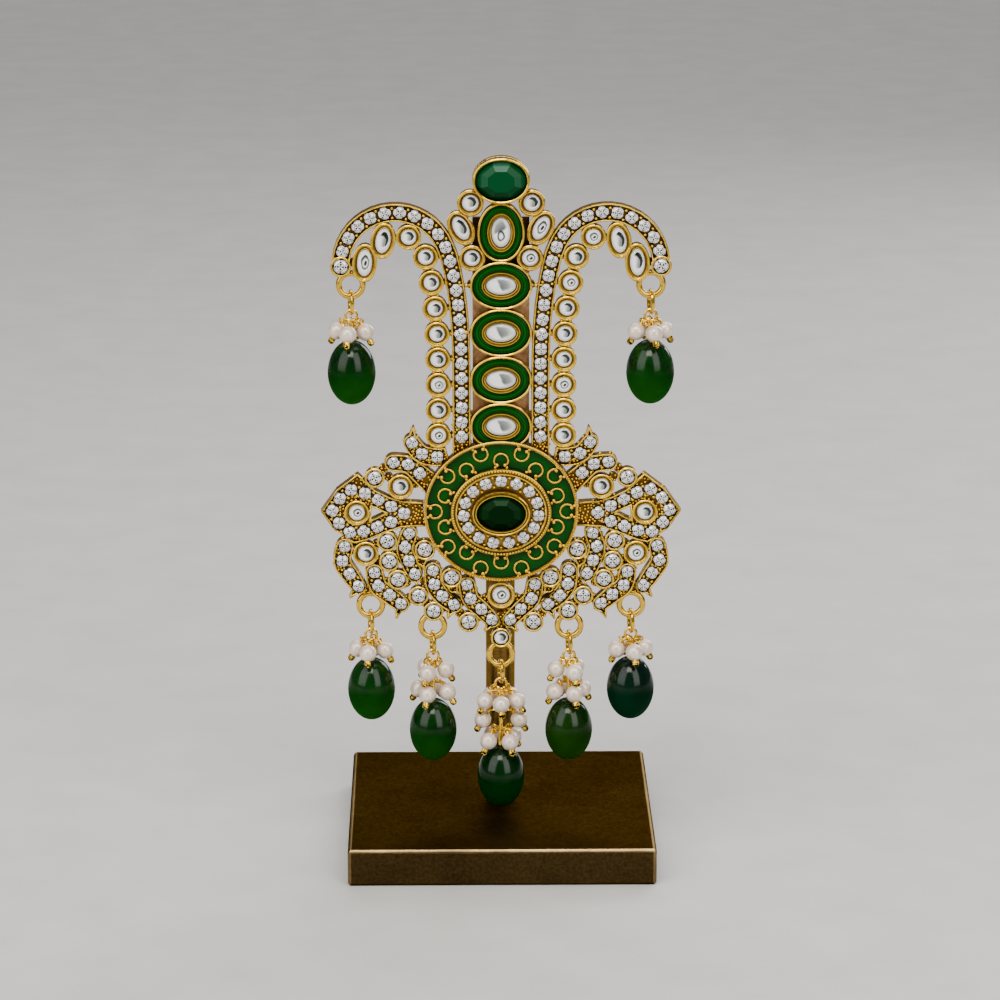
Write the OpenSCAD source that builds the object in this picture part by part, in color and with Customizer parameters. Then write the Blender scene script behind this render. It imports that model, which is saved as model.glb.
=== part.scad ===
// Turban ornament with enamel, white stones and seven hanging drops, on a brass display stand.
// Millimetres. +Z is up, the ornament faces -Y, and the origin is the centre of the stand's underside.

/* [Stand] */
// Side of the square plate
plate_w = 61.5; // [60:0.5:70]
// Thickness of the plate
plate_h = 7.5; // [6.5:0.5:12]
// Bevel along the plate's edges
plate_bevel = 0.6; // [0.3:0.1:1]
// Diameter of the post
post_d = 5.9; // [5:0.1:7]
// Height of the medallion's centre above the plate
medallion_rise = 64.6; // [64.4:0.1:75]
// Distance from the post's axis forward to the back of the gilt work
face_gap = 8.5; // [8:0.5:10]
// Diameter of the ornament's pin, which stands in the post
pin_d = 2.4; // [2:0.1:2.6]

/* [Gilt work] */
// Thickness of the pierced back plates
web_t = 1.2; // [1:0.1:1.4]
// Height of the wire rims and cups above the back
rim_h = 2.3; // [2.1:0.1:2.6]
// Width of a wire rim
rim_w = 0.35; // [0.3:0.05:0.4]
// Half the width of a plume's band
band_half = 1.8; // [1.7:0.05:1.8]
// Radius of the round cups beside a plume
cup_r = 2.45; // [2.3:0.05:2.5]
// Thickness of the strap behind the column
strap_t = 1; // [0.8:0.1:1.4]
// Half the width of that strap
strap_half = 5.6; // [5:0.1:5.8]

/* [Medallion] */
// Half width of the medallion
medallion_a = 15.4; // [15.2:0.1:15.4]
// Half height of the medallion
medallion_b = 14.4; // [14.2:0.1:14.4]
// Half width of the raised ring of stones
ring_a = 9.9; // [9.7:0.1:10]
// Half height of the raised ring of stones
ring_b = 8.8; // [8.6:0.1:8.9]
// Half width of the centre stone
centre_a = 4.85; // [4.5:0.05:4.9]
// Half height of the centre stone
centre_b = 3.6; // [3.3:0.05:3.7]
// Radius of one small scroll in the enamel
scroll_r = 1.4; // [1.2:0.05:1.4]

/* [Stones] */
// Radius of a pave stone
pave_r = 1.27; // [1.15:0.01:1.27]
// Height of a pave stone
pave_h = 0.8; // [0.6:0.05:1]
// Height of a foil-backed stone
foil_h = 0.9; // [0.7:0.05:1.1]
// Gap between a stone and the metal or enamel around it
seat_gap = 0.1; // [0.08:0.01:0.12]

/* [Drops] */
// Radius of a pearl
pearl_r = 1.85; // [1.7:0.05:1.85]
// Diameter of a green bead
bead_d = 9.9; // [9.4:0.1:10]
// Height of a green bead
bead_h = 13.6; // [13:0.1:13.6]
// Radius of a soldered loop, to the middle of its wire
loop_r = 2.35; // [2.3:0.05:2.4]
// Diameter of a soldered loop's wire
loop_wire = 1.2; // [1.1:0.05:1.2]
// Diameter of a jump ring's wire
link_wire = 0.56; // [0.5:0.02:0.6]
// Height of a jump ring, between the middles of its wire
link_h = 4.34; // [4.2:0.02:4.4]

/* [Hidden] */

medallion_z = plate_h + medallion_rise;
solder = 0.2;        // how far one metal layer sinks into the next
round_fn = 20;       // sides of a small cup
oval_fn = 32;        // sides of a column oval
wide_fn = 56;        // sides of the medallion
curve_steps = 3;     // pieces of a leaf's line between two of its points
stone_lift = web_t + seat_gap;
loop_plane = 0.9;    // the loops' mid plane, in front of the gilt work's back
spigot_d = 3;
spigot_h = 5;
pin_top = 3.2;       // the pin's upper end, above the medallion's centre
post_top = -2;       // the post's upper end, against the medallion's centre
pin_depth = 14;

// The column: height of each oval's centre, half width and half height, from the top
column_y = 0;
column_w = 1;
column_h = 2;
COLUMN = [[56.4, 4.6, 5.84], [45.75, 6.1, 4.78], [36.25, 6.1, 4.78], [26.75, 6.1, 4.78], [17.25, 6.1, 4.78]];
crown_y = 66.75;
crown_a = 5.65;
crown_b = 4.6;
// Cups beside the column: centre, half width, half height, tilt
cup_x = 0;
cup_y = 1;
cup_w = 2;
cup_h = 3;
cup_turn = 4;
SIDE_CUPS = [[6, 62.2, 2.5, 2.5, 0], [7.85, 57.2, 2.3, 3.45, -27], [5.7, 51.2, 2.45, 2.45, 0]];

// A plume's middle line: a stem that leans out as it climbs, then an arc that hooks over
stem_x = 7.8;
stem_lean = 2.9;
stem_foot = 11;
lean_from = 24;
lean_over = 29.3;
hook_x = 20.85;
hook_y = 49.75;
hook_r = 10.6;
hook_from = 158;
plume_stones = 24;
first_stone = 15;
end_cup_r = 2;
end_stone_r = 1.55;
cup_rows = 8;
cup_first = 15.3;
cup_pitch = 5.16;
cup_out = 4.6;
HOOK_CUPS = [[18.1, 55.4, 2.45, 2.45, 0], [23.1, 54.7, 2.4, 3.55, 10], [26.75, 50.3, 2.4, 3.75, 3]];

// Leaves of the right wing: the middle line as rows of x, y and half width, from the round head
// to the tip of its spur or to the root; then the number of stones, their radius, the length
// left bare at the root and whether the head is round
leaf_line = 0;
leaf_count = 1;
leaf_stone = 2;
leaf_bare = 3;
leaf_head = 4;
LEAVES = [
    [[[10.6, 11.3, 1.7], [12.7, 10.9, 1.9], [15.8, 11.6, 1.9], [17.7, 13.9, 1.7], [17.4, 17.1, 0.15]], 3, 1.27, 0, 0],
    [[[21.4, 9.8, 1.75], [18.4, 9.4, 1.8], [16.1, 7.5, 1.95], [13.2, 4.8, 2.2]], 3, 1.27, 4, 1],
    [[[31.2, -7.5, 1.75], [31.7, -10.6, 1.85], [30.1, -13.4, 1.8], [28.5, -15.8, 1.6], [30.3, -18.2, 0.15]], 4, 1.27, 0, 1],
    [[[25.3, -12.9, 1.8], [24.6, -15.7, 1.9], [22.2, -17.7, 1.85], [20, -19.5, 1.7], [21.1, -22.5, 0.15]], 4, 1.27, 0, 1],
    [[[18.3, -4.8, 1.7], [19.2, -7.8, 1.75], [18.3, -10.8, 1.75], [17.2, -13.3, 1.6], [16.8, -15.6, 0.15]], 4, 1.27, 0, 1],
    [[[13.6, -12.5, 1.75], [13.4, -15.4, 1.8], [11.7, -18, 1.8], [9.4, -19.7, 1.7], [10.8, -22.6, 0.15]], 4, 1.27, 0, 1],
    [[[6.8, -15.5, 1.75], [6.1, -18.5, 1.8], [4, -20.6, 1.8], [1.8, -22.9, 1.6], [3.2, -25.4, 0.15]], 4, 1.27, 0, 1],
    [[[15.2, -8.2, 2.1], [15.9, -10.3, 1.1], [15.4, -12.4, 0.15]], 1, 1.55, 0, 1],
    [[[9.9, -14, 2.1], [9.6, -16.2, 1], [8.2, -17.6, 0.15]], 1, 1.55, 0, 1]];
// Single cups of the right wing that hold a cut stone: centre, cup radius, stone radius
single_r = 2;
single_stone = 3;
SINGLES = [[25.1, 6.7, 1.95, 1.5], [22.7, -6.4, 2, 1.55], [22.3, -10.6, 2, 1.55], [20.6, -14.4, 2, 1.55],
    [16.5, -17.8, 1.9, 1.5], [13.5, -21, 1.95, 1.5], [6.5, -23.3, 2, 1.55]];
// Cups of the right wing that hold a foil-backed stone
FOIL_CUPS = [[20, 4.8, 2.5, 2.5, 0], [28.7, -0.5, 2.5, 2.5, 0], [27, -9, 2.5, 2.5, 0]];
heart_cup = [0, -17.7, 2.6, 2.6, 0];
tail_cup = [0, -26.6, 2, 2, 0];
tail_stone_r = 1.55;
// The pointed shield: its outline, its piercing, and the two rows of stones along its arms
SHIELD = [[14, 1.6], [19.2, 1.9], [22.2, 2.8], [25.1, 4.3], [28.5, 7.6], [32.8, 4.3], [35.9, -0.1],
    [33.2, -4], [29.3, -6.8], [26.8, -6.2], [23, -4.6], [19.8, -3.5], [14, -3.2]];
PIERCING = [[25.7, 0.7], [23.1, -0.5], [25.9, -1.9]];
UPPER_ARM = [[33.6, -0.1, 1], [32.1, 2.4, 1], [29.4, 4.3, 1], [24.4, 2.1, 1], [19.3, -0.7, 1]];
LOWER_ARM = [[32.3, -2.7, 1], [29.9, -4.8, 1], [27.1, -4.3, 1], [21.9, -2.5, 1]];
upper_count = 7;
lower_count = 5;
// Small discs of solder that tie a wing's pieces together
SOLDER_SPOTS = [[15.3, 9.4], [23.3, 8.4], [22.3, 6.6], [17.2, 5.2], [20.3, 2.3], [24.8, -7.2], [24.3, -10.6],
    [20.8, -9.5], [25.8, -16.4], [27, -16.6], [18.9, -15.3], [15.3, -15.2], [12, -14], [11.6, -20.6],
    [8.2, -21.8], [15, -19.5], [16.4, -11.9], [16.9, -6.8], [3, -18.6], [3.9, -19], [29, -7.2], [18.4, -18.6],
    [21.5, -12.4], [8.3, -15.6], [30.9, -6.2], [17.6, -3.3], [4.6, -22.6], [23, -15.2]];
spot_r = 0.9;

// Drops: x and y of the soldered loop, depth of the bead's centre below the hinge, and tiers of
// pearls, each with its number, radius round the wire, depth and turn
drop_x = 0;
drop_y = 1;
drop_bead = 2;
drop_tiers = 3;
tier_count = 0;
tier_out = 1;
tier_down = 2;
tier_turn = 3;
SHORT_TIERS = [[4, 2.9, 7.05, 12]];
MIDDLE_TIERS = [[3, 2.6, 6.95, 144], [4, 3.1, 11.3, 20]];
MAIN_TIERS = [[5, 3.4, 7.25, 0], [2, 3.7, 11.45, 90], [4, 3.1, 15.55, 35]];
HOOK_DROP = [29.5, 45.7, 15.3, SHORT_TIERS];
OUTER_DROP = [26.1, -19.9, 15.25, SHORT_TIERS];
INNER_DROP = [13.7, -24.4, 19.45, MIDDLE_TIERS];
MAIN_DROP = [0, -30.4, 23.4, MAIN_TIERS];

function xy(p) = [p[0], p[1]];
function mix(p, q, t) = p + (q - p) * t;

// A smooth line through the points c, with steps pieces between two neighbours
function curve_at(c, i, t) =
    let (a = c[max(i - 1, 0)], b = c[i], d = c[i + 1], e = c[min(i + 2, len(c) - 1)])
    0.5 * (2 * b + (d - a) * t + (2 * a - 5 * b + 4 * d - e) * t * t + (3 * b - a - 3 * d + e) * t * t * t);
function curve(c, steps) =
    concat([for (i = [0:len(c) - 2]) for (s = [0:steps - 1]) curve_at(c, i, s / steps)], [c[len(c) - 1]]);

// The point at a given length along a line, for rows of stones
function run(c) = [for (i = 0, s = 0; i < len(c); s = i < len(c) - 1 ? s + norm(xy(c[i + 1]) - xy(c[i])) : s, i = i + 1) s];
function at_run(c, r, s) =
    let (i = max([for (j = [0:len(c) - 2]) r[j] <= s ? j : 0]))
    xy(mix(c[i], c[i + 1], min(1, (s - r[i]) / (r[i + 1] - r[i]))));
function spaced(c, count, from, bare) =
    let (r = run(c), l = r[len(r) - 1] - from - bare)
    [for (i = [0:count - 1]) at_run(c, r, from + (count > 1 ? l * i / (count - 1) : 0))];

// One edge of a ribbon whose points hold x, y and half width
function edge_point(c, i, side) =
    let (a = xy(c[max(i - 1, 0)]), b = xy(c[min(i + 1, len(c) - 1)]), d = (b - a) / norm(b - a))
    xy(c[i]) + side * c[i][2] * [-d[1], d[0]];

// A plume's middle line
function lean_x(y) = stem_x + stem_lean * pow(max(0, (y - lean_from) / lean_over), 3);
plume_line = concat(
    [for (y = [stem_foot:3.4:51.8]) [lean_x(y), y, band_half]],
    [for (a = [hook_from:-9:5]) [hook_x + hook_r * cos(a), hook_y + hook_r * sin(a), band_half]]);
plume_end = [hook_x + hook_r * cos(-1), hook_y + hook_r * sin(-1)];
plume_seats = spaced(concat(plume_line, [concat(plume_end, [band_half])]), plume_stones, first_stone - stem_foot, 0);
plume_cups = concat(
    [for (i = [0:cup_rows - 1]) let (y = cup_first + cup_pitch * i) [lean_x(y) + cup_out, y, cup_r, cup_r, 0]],
    HOOK_CUPS);

// Draws in the ornament's own plane: x and y as seen from the front, z towards the viewer
module on_face() translate([0, -face_gap, medallion_z]) rotate([90, 0, 0]) children();
module mirrored(side) mirror([side < 0 ? 1 : 0, 0, 0]) children();

module oval(a, b, fn = oval_fn) scale([a, b]) circle(r = 1, $fn = fn);
module ribbon(c)
    polygon(concat([for (i = [0:len(c) - 1]) edge_point(c, i, 1)],
        [for (i = [len(c) - 1:-1:0]) edge_point(c, i, -1)]));
module cup_plan(cup, grow = 0)
    translate([cup[cup_x], cup[cup_y]]) rotate(cup[cup_turn])
        oval(cup[cup_w] + grow, cup[cup_h] + grow, round_fn);
module single_plan(s, grow = 0) translate(xy(s)) circle(r = s[single_r] + grow, $fn = round_fn);
module slab(bottom, top) translate([0, 0, bottom]) linear_extrude(top - bottom) offset(delta = 0.001) children();
// The metal between a shape and the same shape drawn in by a rim's width
module rim_of() difference() {
    offset(delta = -0.02) children();
    offset(delta = -rim_w) children();
}

// A cut stone with a flat table, n crown facets and a flat foiled back
module cut_stone(a, b, h, n, table = 0.58) {
    ring = [for (i = [0:n - 1]) [a * cos(360 * i / n), b * sin(360 * i / n), 0]];
    top = [for (p = ring) [p[0] * table, p[1] * table, h]];
    sides = [for (i = [0:n - 1]) let (j = (i + 1) % n) [n + i, n + j, j, i]];
    polyhedron(concat(ring, top), concat([[for (i = [0:n - 1]) i]], [[for (i = [n - 1:-1:0]) n + i]], sides));
}
module pave(p, r = pave_r) translate([p[0], p[1], stone_lift]) cut_stone(r, r, pave_h, 8);
module foil_stone(cup, inset = 0.75)
    translate([cup[cup_x], cup[cup_y], stone_lift]) rotate(cup[cup_turn])
        cut_stone(cup[cup_w] - inset, cup[cup_h] - inset, foil_h, 10, 0.66);

// The loop that a drop hangs from, soldered to the gilt work
module drop_loop(drop) translate([drop[drop_x], drop[drop_y], loop_plane])
    rotate_extrude($fn = 48) translate([loop_r, 0]) circle(d = loop_wire, $fn = 24);

// Leaves everything outside the medallion's own outline
module outside_medallion() difference() {
    children();
    oval(medallion_a + seat_gap, medallion_b + seat_gap, wide_fn);
}

module stand_plate() color([0.42, 0.3, 0.13]) difference() {
    intersection() {
        translate([0, plate_w / 2, 0]) rotate([90, 0, 0]) linear_extrude(plate_w) plate_side();
        translate([-plate_w / 2, 0, 0]) rotate([90, 0, 90]) linear_extrude(plate_w) plate_side();
        linear_extrude(plate_h) plate_plan();
    }
    translate([0, 0, plate_h - spigot_h - seat_gap]) cylinder(d = spigot_d + 0.2, h = spigot_h + 1, $fn = 32);
}
module plate_side() {
    w = plate_w / 2;
    b = plate_bevel;
    polygon([[-w + b, 0], [w - b, 0], [w, b], [w, plate_h - b], [w - b, plate_h], [-w + b, plate_h],
        [-w, plate_h - b], [-w, b]]);
}
module plate_plan() {
    w = plate_w / 2;
    b = plate_bevel;
    polygon([[-w + b, -w], [w - b, -w], [w, -w + b], [w, w - b], [w - b, w], [-w + b, w], [-w, w - b], [-w, -w + b]]);
}

module stand_post() color([0.72, 0.53, 0.25]) difference() {
    union() {
        translate([0, 0, plate_h + 0.02]) cylinder(d = post_d, h = medallion_rise + post_top - 0.02, $fn = 48);
        translate([0, 0, plate_h - spigot_h]) cylinder(d = spigot_d, h = spigot_h + 1, $fn = 32);
    }
    translate([0, 0, medallion_z + post_top - pin_depth - 0.3]) cylinder(d = pin_d + 0.1, h = pin_depth + 1, $fn = 32);
}

// The pin that goes into the turban's folds, with the arm that carries the ornament
module turban_pin() color([0.74, 0.58, 0.34]) union() {
    translate([0, 0, medallion_z + post_top - pin_depth]) cylinder(d = pin_d, h = pin_depth - post_top + pin_top - 0.6, $fn = 32);
    arm_y = -face_gap + strap_t + 2 * seat_gap;
    translate([-pin_d * 0.7, arm_y, medallion_z - 0.4]) cube([pin_d * 1.4, -arm_y + pin_d * 0.7, pin_top]);
}

module back_strap() color([0.86, 0.68, 0.5]) on_face() slab(-strap_t - seat_gap, -seat_gap) {
    translate([-strap_half, -12]) square([2 * strap_half, 71]);
    for (side = [-1, 1]) scale([side, 1]) {
        translate([strap_half - 1, 17.2]) square([4.2, 2.6]);
        polygon([[strap_half - 1, -3.8], [14, -3.4], [27.6, -5.4], [27.6, -4.2], [14, -1.4], [strap_half - 1, -1.2]]);
        polygon([[strap_half - 1, -11.5], [6.8, -16.8], [8, -16], [strap_half, -9]]);
    }
}

module column_plan() outside_medallion() {
    for (c = COLUMN) translate([0, c[column_y]]) oval(c[column_w], c[column_h]);
    translate([0, crown_y]) oval(crown_a, crown_b);
    translate([0, 50.55]) circle(r = 1, $fn = 16);
    translate([0, 62.15]) circle(r = 1, $fn = 16);
    for (side = [-1, 1]) scale([side, 1]) {
        for (c = SIDE_CUPS) cup_plan(c);
        translate([6.9, 54.1]) circle(r = 0.75, $fn = 16);
        translate([3.9, 49.8]) circle(r = 0.8, $fn = 16);
        translate([5.9, 45.75]) circle(r = 0.8, $fn = 16);
    }
}
module column_frame() color([0.85, 0.64, 0.27]) on_face() union() {
    slab(0, web_t) column_plan();
    slab(web_t - solder, rim_h + 0.3) outside_medallion() {
        for (c = COLUMN) translate([0, c[column_y]]) rim_of() oval(c[column_w], c[column_h]);
        for (c = COLUMN) translate([0, c[column_y]]) difference() {
            oval(stone_a(c) + 0.55, stone_b(c) + 0.55);
            oval(stone_a(c) + seat_gap, stone_b(c) + seat_gap);
        }
        for (side = [-1, 1]) scale([side, 1]) for (c = SIDE_CUPS) rim_of() cup_plan(c);
    }
    slab(web_t - solder, rim_h + 1.1) translate([0, crown_y]) difference() {
        oval(crown_a - 0.03, crown_b - 0.03);
        oval(crown_a - 0.55, crown_b - 0.55);
    }
}
// The column's stones stand upright in the top oval and lie across the others
function stone_a(c) = c[column_w] < c[column_h] ? 2 : 3.1;
function stone_b(c) = c[column_w] < c[column_h] ? 3.1 : 1.95;

module column_enamel(i) color([0, 0.28, 0.03]) on_face() {
    c = COLUMN[i];
    slab(stone_lift, rim_h) difference() {
        translate([0, c[column_y]]) difference() {
            oval(c[column_w] - rim_w - seat_gap, c[column_h] - rim_w - seat_gap);
            oval(stone_a(c) + 0.55 + seat_gap, stone_b(c) + 0.55 + seat_gap);
        }
        oval(medallion_a + 2 * seat_gap, medallion_b + 2 * seat_gap, wide_fn);
        for (near = [-1, 1]) if (abs(i + near - 2) < 3) translate([0, COLUMN[i + near][column_y]])
            oval(COLUMN[i + near][column_w] + seat_gap, COLUMN[i + near][column_h] + seat_gap);
    }
}
module column_stone(i) color([0.9, 0.92, 0.92]) on_face() {
    c = COLUMN[i];
    translate([0, c[column_y], stone_lift]) cut_stone(stone_a(c), stone_b(c), foil_h + 0.7, 12, 0.62);
}
module crown_stone() color([0, 0.3, 0.16]) on_face()
    translate([0, crown_y, stone_lift]) cut_stone(crown_a - 0.65, crown_b - 0.65, rim_h + 0.2, 16, 0.6);
module side_stones() color([0.9, 0.92, 0.92]) on_face()
    for (side = [-1, 1]) for (c = SIDE_CUPS) mirrored(side) foil_stone(c, 0.65);

module plume_plan() outside_medallion() {
    ribbon(plume_line);
    translate(plume_end) circle(r = end_cup_r, $fn = round_fn);
    for (c = plume_cups) cup_plan(c);
    for (i = [0:cup_rows - 1]) {
        c = plume_cups[i];
        translate([c[cup_x] - cup_r + 0.1, c[cup_y]]) circle(r = 0.6, $fn = 12);
        translate(mix(xy(c), xy(plume_cups[i + 1]), 0.5)) circle(r = 0.5, $fn = 12);
    }
    translate([20.4, 55.2]) circle(r = 0.6, $fn = 12);
    translate([17, 57.9]) circle(r = 0.7, $fn = 12);
    translate([23.6, 58.2]) circle(r = 0.8, $fn = 12);
    translate([29.2, 50.2]) circle(r = 0.8, $fn = 12);
}
module plume(side) color([0.85, 0.64, 0.27]) on_face() mirrored(side) union() {
    slab(0, web_t) plume_plan();
    slab(web_t - solder, rim_h) outside_medallion() {
        difference() {
            rim_of() ribbon(plume_line);
            translate(plume_end) circle(r = end_cup_r - rim_w, $fn = round_fn);
        }
        difference() {
            rim_of() translate(plume_end) circle(r = end_cup_r, $fn = round_fn);
            translate(plume_seats[plume_stones - 2]) circle(r = pave_r + seat_gap, $fn = 16);
        }
        for (c = plume_cups) rim_of() cup_plan(c);
    }
    drop_loop(HOOK_DROP);
}
module plume_left() plume(-1);
module plume_right() plume(1);

module plume_pave(side) color([0.88, 0.89, 0.92]) on_face() mirrored(side)
    for (i = [0:plume_stones - 1])
        pave(plume_seats[i], i == plume_stones - 1 ? end_stone_r : pave_r);
module plume_pave_left() plume_pave(-1);
module plume_pave_right() plume_pave(1);
module plume_foils(side) color([0.9, 0.92, 0.92]) on_face() mirrored(side)
    for (c = plume_cups) foil_stone(c);
module plume_stones_left() plume_foils(-1);
module plume_stones_right() plume_foils(1);

// A leaf's last row is the tip of a spur where it has next to no width
function has_spur(leaf) = leaf[leaf_line][len(leaf[leaf_line]) - 1][2] < 0.5;
function leaf_body(leaf) =
    let (l = leaf[leaf_line], n = len(l) - (has_spur(leaf) ? 2 : 1))
    curve([for (i = [0:n]) l[i]], curve_steps);
module leaf_plan(leaf) {
    body = leaf_body(leaf);
    end = body[len(body) - 1];
    tip = leaf[leaf_line][len(leaf[leaf_line]) - 1];
    ribbon(body);
    if (leaf[leaf_head] > 0) translate(xy(body[0])) circle(r = body[0][2], $fn = round_fn);
    if (has_spur(leaf)) {
        translate(xy(end)) circle(r = end[2], $fn = round_fn);
        ribbon([[end[0], end[1], end[2] * 0.7], tip]);
    }
}
module wing_plan() outside_medallion() {
    for (leaf = LEAVES) leaf_plan(leaf);
    for (s = SINGLES) single_plan(s);
    for (c = FOIL_CUPS) cup_plan(c);
    for (p = SOLDER_SPOTS) translate(p) circle(r = spot_r, $fn = 10);
    difference() {
        polygon(SHIELD);
        polygon(PIERCING);
    }
}
module wing_rims() outside_medallion() {
    for (leaf = LEAVES) rim_of() leaf_plan(leaf);
    for (s = SINGLES) rim_of() single_plan(s);
    for (c = FOIL_CUPS) rim_of() cup_plan(c);
    rim_of() difference() {
        polygon(SHIELD);
        polygon(PIERCING);
    }
}
// Both wings, the heart and tail cups between them, and their five loops
module wing_frame() color([0.85, 0.64, 0.27]) on_face() union() {
    slab(0, web_t) {
        for (side = [-1, 1]) scale([side, 1]) wing_plan();
        cup_plan(heart_cup);
        cup_plan(tail_cup);
        translate([-1.2, -25.5]) square([2.4, 4]);
    }
    slab(web_t - solder, rim_h) difference() {
        union() {
            for (side = [-1, 1]) scale([side, 1]) wing_rims();
            rim_of() cup_plan(heart_cup);
            rim_of() cup_plan(tail_cup);
        }
        for (p = all_seats) translate(p) circle(r = p[2] + seat_gap, $fn = 12);
    }
    for (d = [OUTER_DROP, INNER_DROP]) for (side = [-1, 1]) seated_loop(d, side);
    seated_loop(MAIN_DROP, 1);
}
// A loop that is cut away under the stones whose seats it reaches
module seated_loop(drop, side) difference() {
    mirrored(side) drop_loop(drop);
    for (p = all_seats) if (norm(xy(p) - [side * drop[drop_x], drop[drop_y]]) < loop_r + loop_wire / 2 + p[2] + seat_gap)
        translate([p[0], p[1], web_t]) cylinder(r = p[2] + seat_gap, h = 1, $fn = 12);
}

// Seats of the right wing's cut stones: x, y and the stone's radius
function seat(p, r) = [p[0], p[1], r];
leaf_seats = [for (leaf = LEAVES)
    for (p = spaced(leaf_body(leaf), leaf[leaf_count], leaf[leaf_head] > 0 ? 0 : 2.1, leaf[leaf_bare]))
        seat(p, leaf[leaf_stone])];
wing_seats = concat(leaf_seats,
    [for (s = SINGLES) seat(s, s[single_stone])],
    [for (p = spaced(curve(UPPER_ARM, curve_steps), upper_count, 0, 0)) seat(p, pave_r)],
    [for (p = spaced(curve(LOWER_ARM, curve_steps), lower_count, 0, 0)) seat(p, pave_r)]);
foil_seats = [for (c = FOIL_CUPS) seat(c, c[cup_w] - 0.75)];
all_seats = concat([for (side = [-1, 1]) for (s = concat(wing_seats, foil_seats)) [side * s[0], s[1], s[2]]],
    [seat(heart_cup, heart_cup[cup_w] - 0.65), seat(tail_cup, tail_stone_r)]);

module wing_pave(side) color([0.88, 0.89, 0.92]) on_face() mirrored(side)
    for (s = wing_seats) pave(s, s[2]);
module wing_pave_left() wing_pave(-1);
module wing_pave_right() wing_pave(1);
module wing_stones() color([0.9, 0.92, 0.92]) on_face() {
    for (side = [-1, 1]) for (c = FOIL_CUPS) mirrored(side) foil_stone(c);
    foil_stone(heart_cup, 0.65);
    pave(tail_cup, tail_stone_r);
}

// The medallion: a dish for enamel, small open scrolls, and a raised ring of stones
dish_floor = 1.6;
dish_rim = 3.4;
ring_floor = 3.4;
ring_rim = 4.2;
bezel_rim = 5.2;
ring_stones = 15;
scrolls = 20;
scroll_wire = 0.36;
scroll_open = 42;
outer_scroll = [13.15, 12.35];
inner_scroll = [11.65, 10.45];

module scroll() {
    difference() {
        circle(r = scroll_r + scroll_wire / 2, $fn = 24);
        circle(r = scroll_r - scroll_wire / 2, $fn = 24);
        polygon([[0, 0], 3 * [cos(scroll_open), sin(scroll_open)], 3 * [cos(scroll_open), -sin(scroll_open)]]);
    }
    for (s = [-1, 1]) translate(scroll_r * [cos(scroll_open), s * sin(scroll_open)]) circle(r = 0.32, $fn = 12);
}
// Every second scroll stands at the rim and opens outwards; the others open towards the ring
module scroll_pattern() for (i = [0:scrolls - 1]) {
    out = i % 2 == 0;
    place = out ? outer_scroll : inner_scroll;
    turn = 360 * i / scrolls;
    p = [place[0] * cos(turn), place[1] * sin(turn)];
    translate(p) rotate(atan2(p[1], p[0]) + (out ? 0 : 180)) scroll();
}

module medallion_frame() color([0.85, 0.64, 0.27]) on_face() union() {
    slab(0, dish_floor) oval(medallion_a, medallion_b, wide_fn);
    slab(dish_floor - solder, dish_rim) difference() {
        oval(medallion_a - 0.03, medallion_b - 0.03, wide_fn);
        oval(medallion_a - 0.5, medallion_b - 0.5, wide_fn);
    }
    slab(dish_floor - solder, dish_rim - 0.2) intersection() {
        scroll_pattern();
        oval(medallion_a - 0.6, medallion_b - 0.6, wide_fn);
    }
    slab(dish_floor - solder, ring_floor) oval(ring_a, ring_b, wide_fn);
    slab(ring_floor - solder, ring_rim) difference() {
        oval(ring_a - 0.03, ring_b - 0.03, wide_fn);
        oval(ring_a - 0.5, ring_b - 0.5, wide_fn);
    }
    slab(ring_floor - solder, bezel_rim) difference() {
        oval(centre_a + 0.75, centre_b + 0.75);
        oval(centre_a + seat_gap, centre_b + seat_gap);
    }
}
module medallion_enamel() color([0, 0.28, 0.03]) on_face() slab(dish_floor + seat_gap, dish_rim - 0.5) difference() {
    oval(medallion_a - 0.6, medallion_b - 0.6, wide_fn);
    oval(ring_a + seat_gap, ring_b + seat_gap, wide_fn);
    offset(delta = seat_gap) scroll_pattern();
}
module medallion_pave() color([0.88, 0.89, 0.92]) on_face() for (i = [0:ring_stones - 1]) {
    turn = 360 * i / ring_stones + 90;
    translate([7.5 * cos(turn), 6.4 * sin(turn), ring_floor + seat_gap - stone_lift]) pave([0, 0], 1.2);
}
module centre_stone() color([0, 0.17, 0.06]) on_face()
    translate([0, 0, ring_floor + seat_gap]) cut_stone(centre_a, centre_b, 2.1, 16, 0.6);

// A drop's own frame has its origin on the hinge, in the middle of the loop's lowest wire
module at_hinge(drop, side)
    translate([side * drop[drop_x], -face_gap - loop_plane, medallion_z + drop[drop_y] - loop_r]) children();
eye_wire = 0.5;
eye_r = 1.15;
stem_d = 0.7;
link_top = (loop_wire + link_wire) / 2 + seat_gap;
link_low = link_top - link_h;
eye_z = link_low + (link_wire + eye_wire) / 2 + 0.08 - eye_r;
foot_r = 0.6;

module drop_ring(drop, side) color([0.85, 0.64, 0.27]) at_hinge(drop, side)
    translate([0, 0, link_top - link_h / 2]) rotate([0, 90, 0])
        rotate_extrude($fn = 48) translate([link_h / 2, 0]) circle(d = link_wire, $fn = 24);

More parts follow.
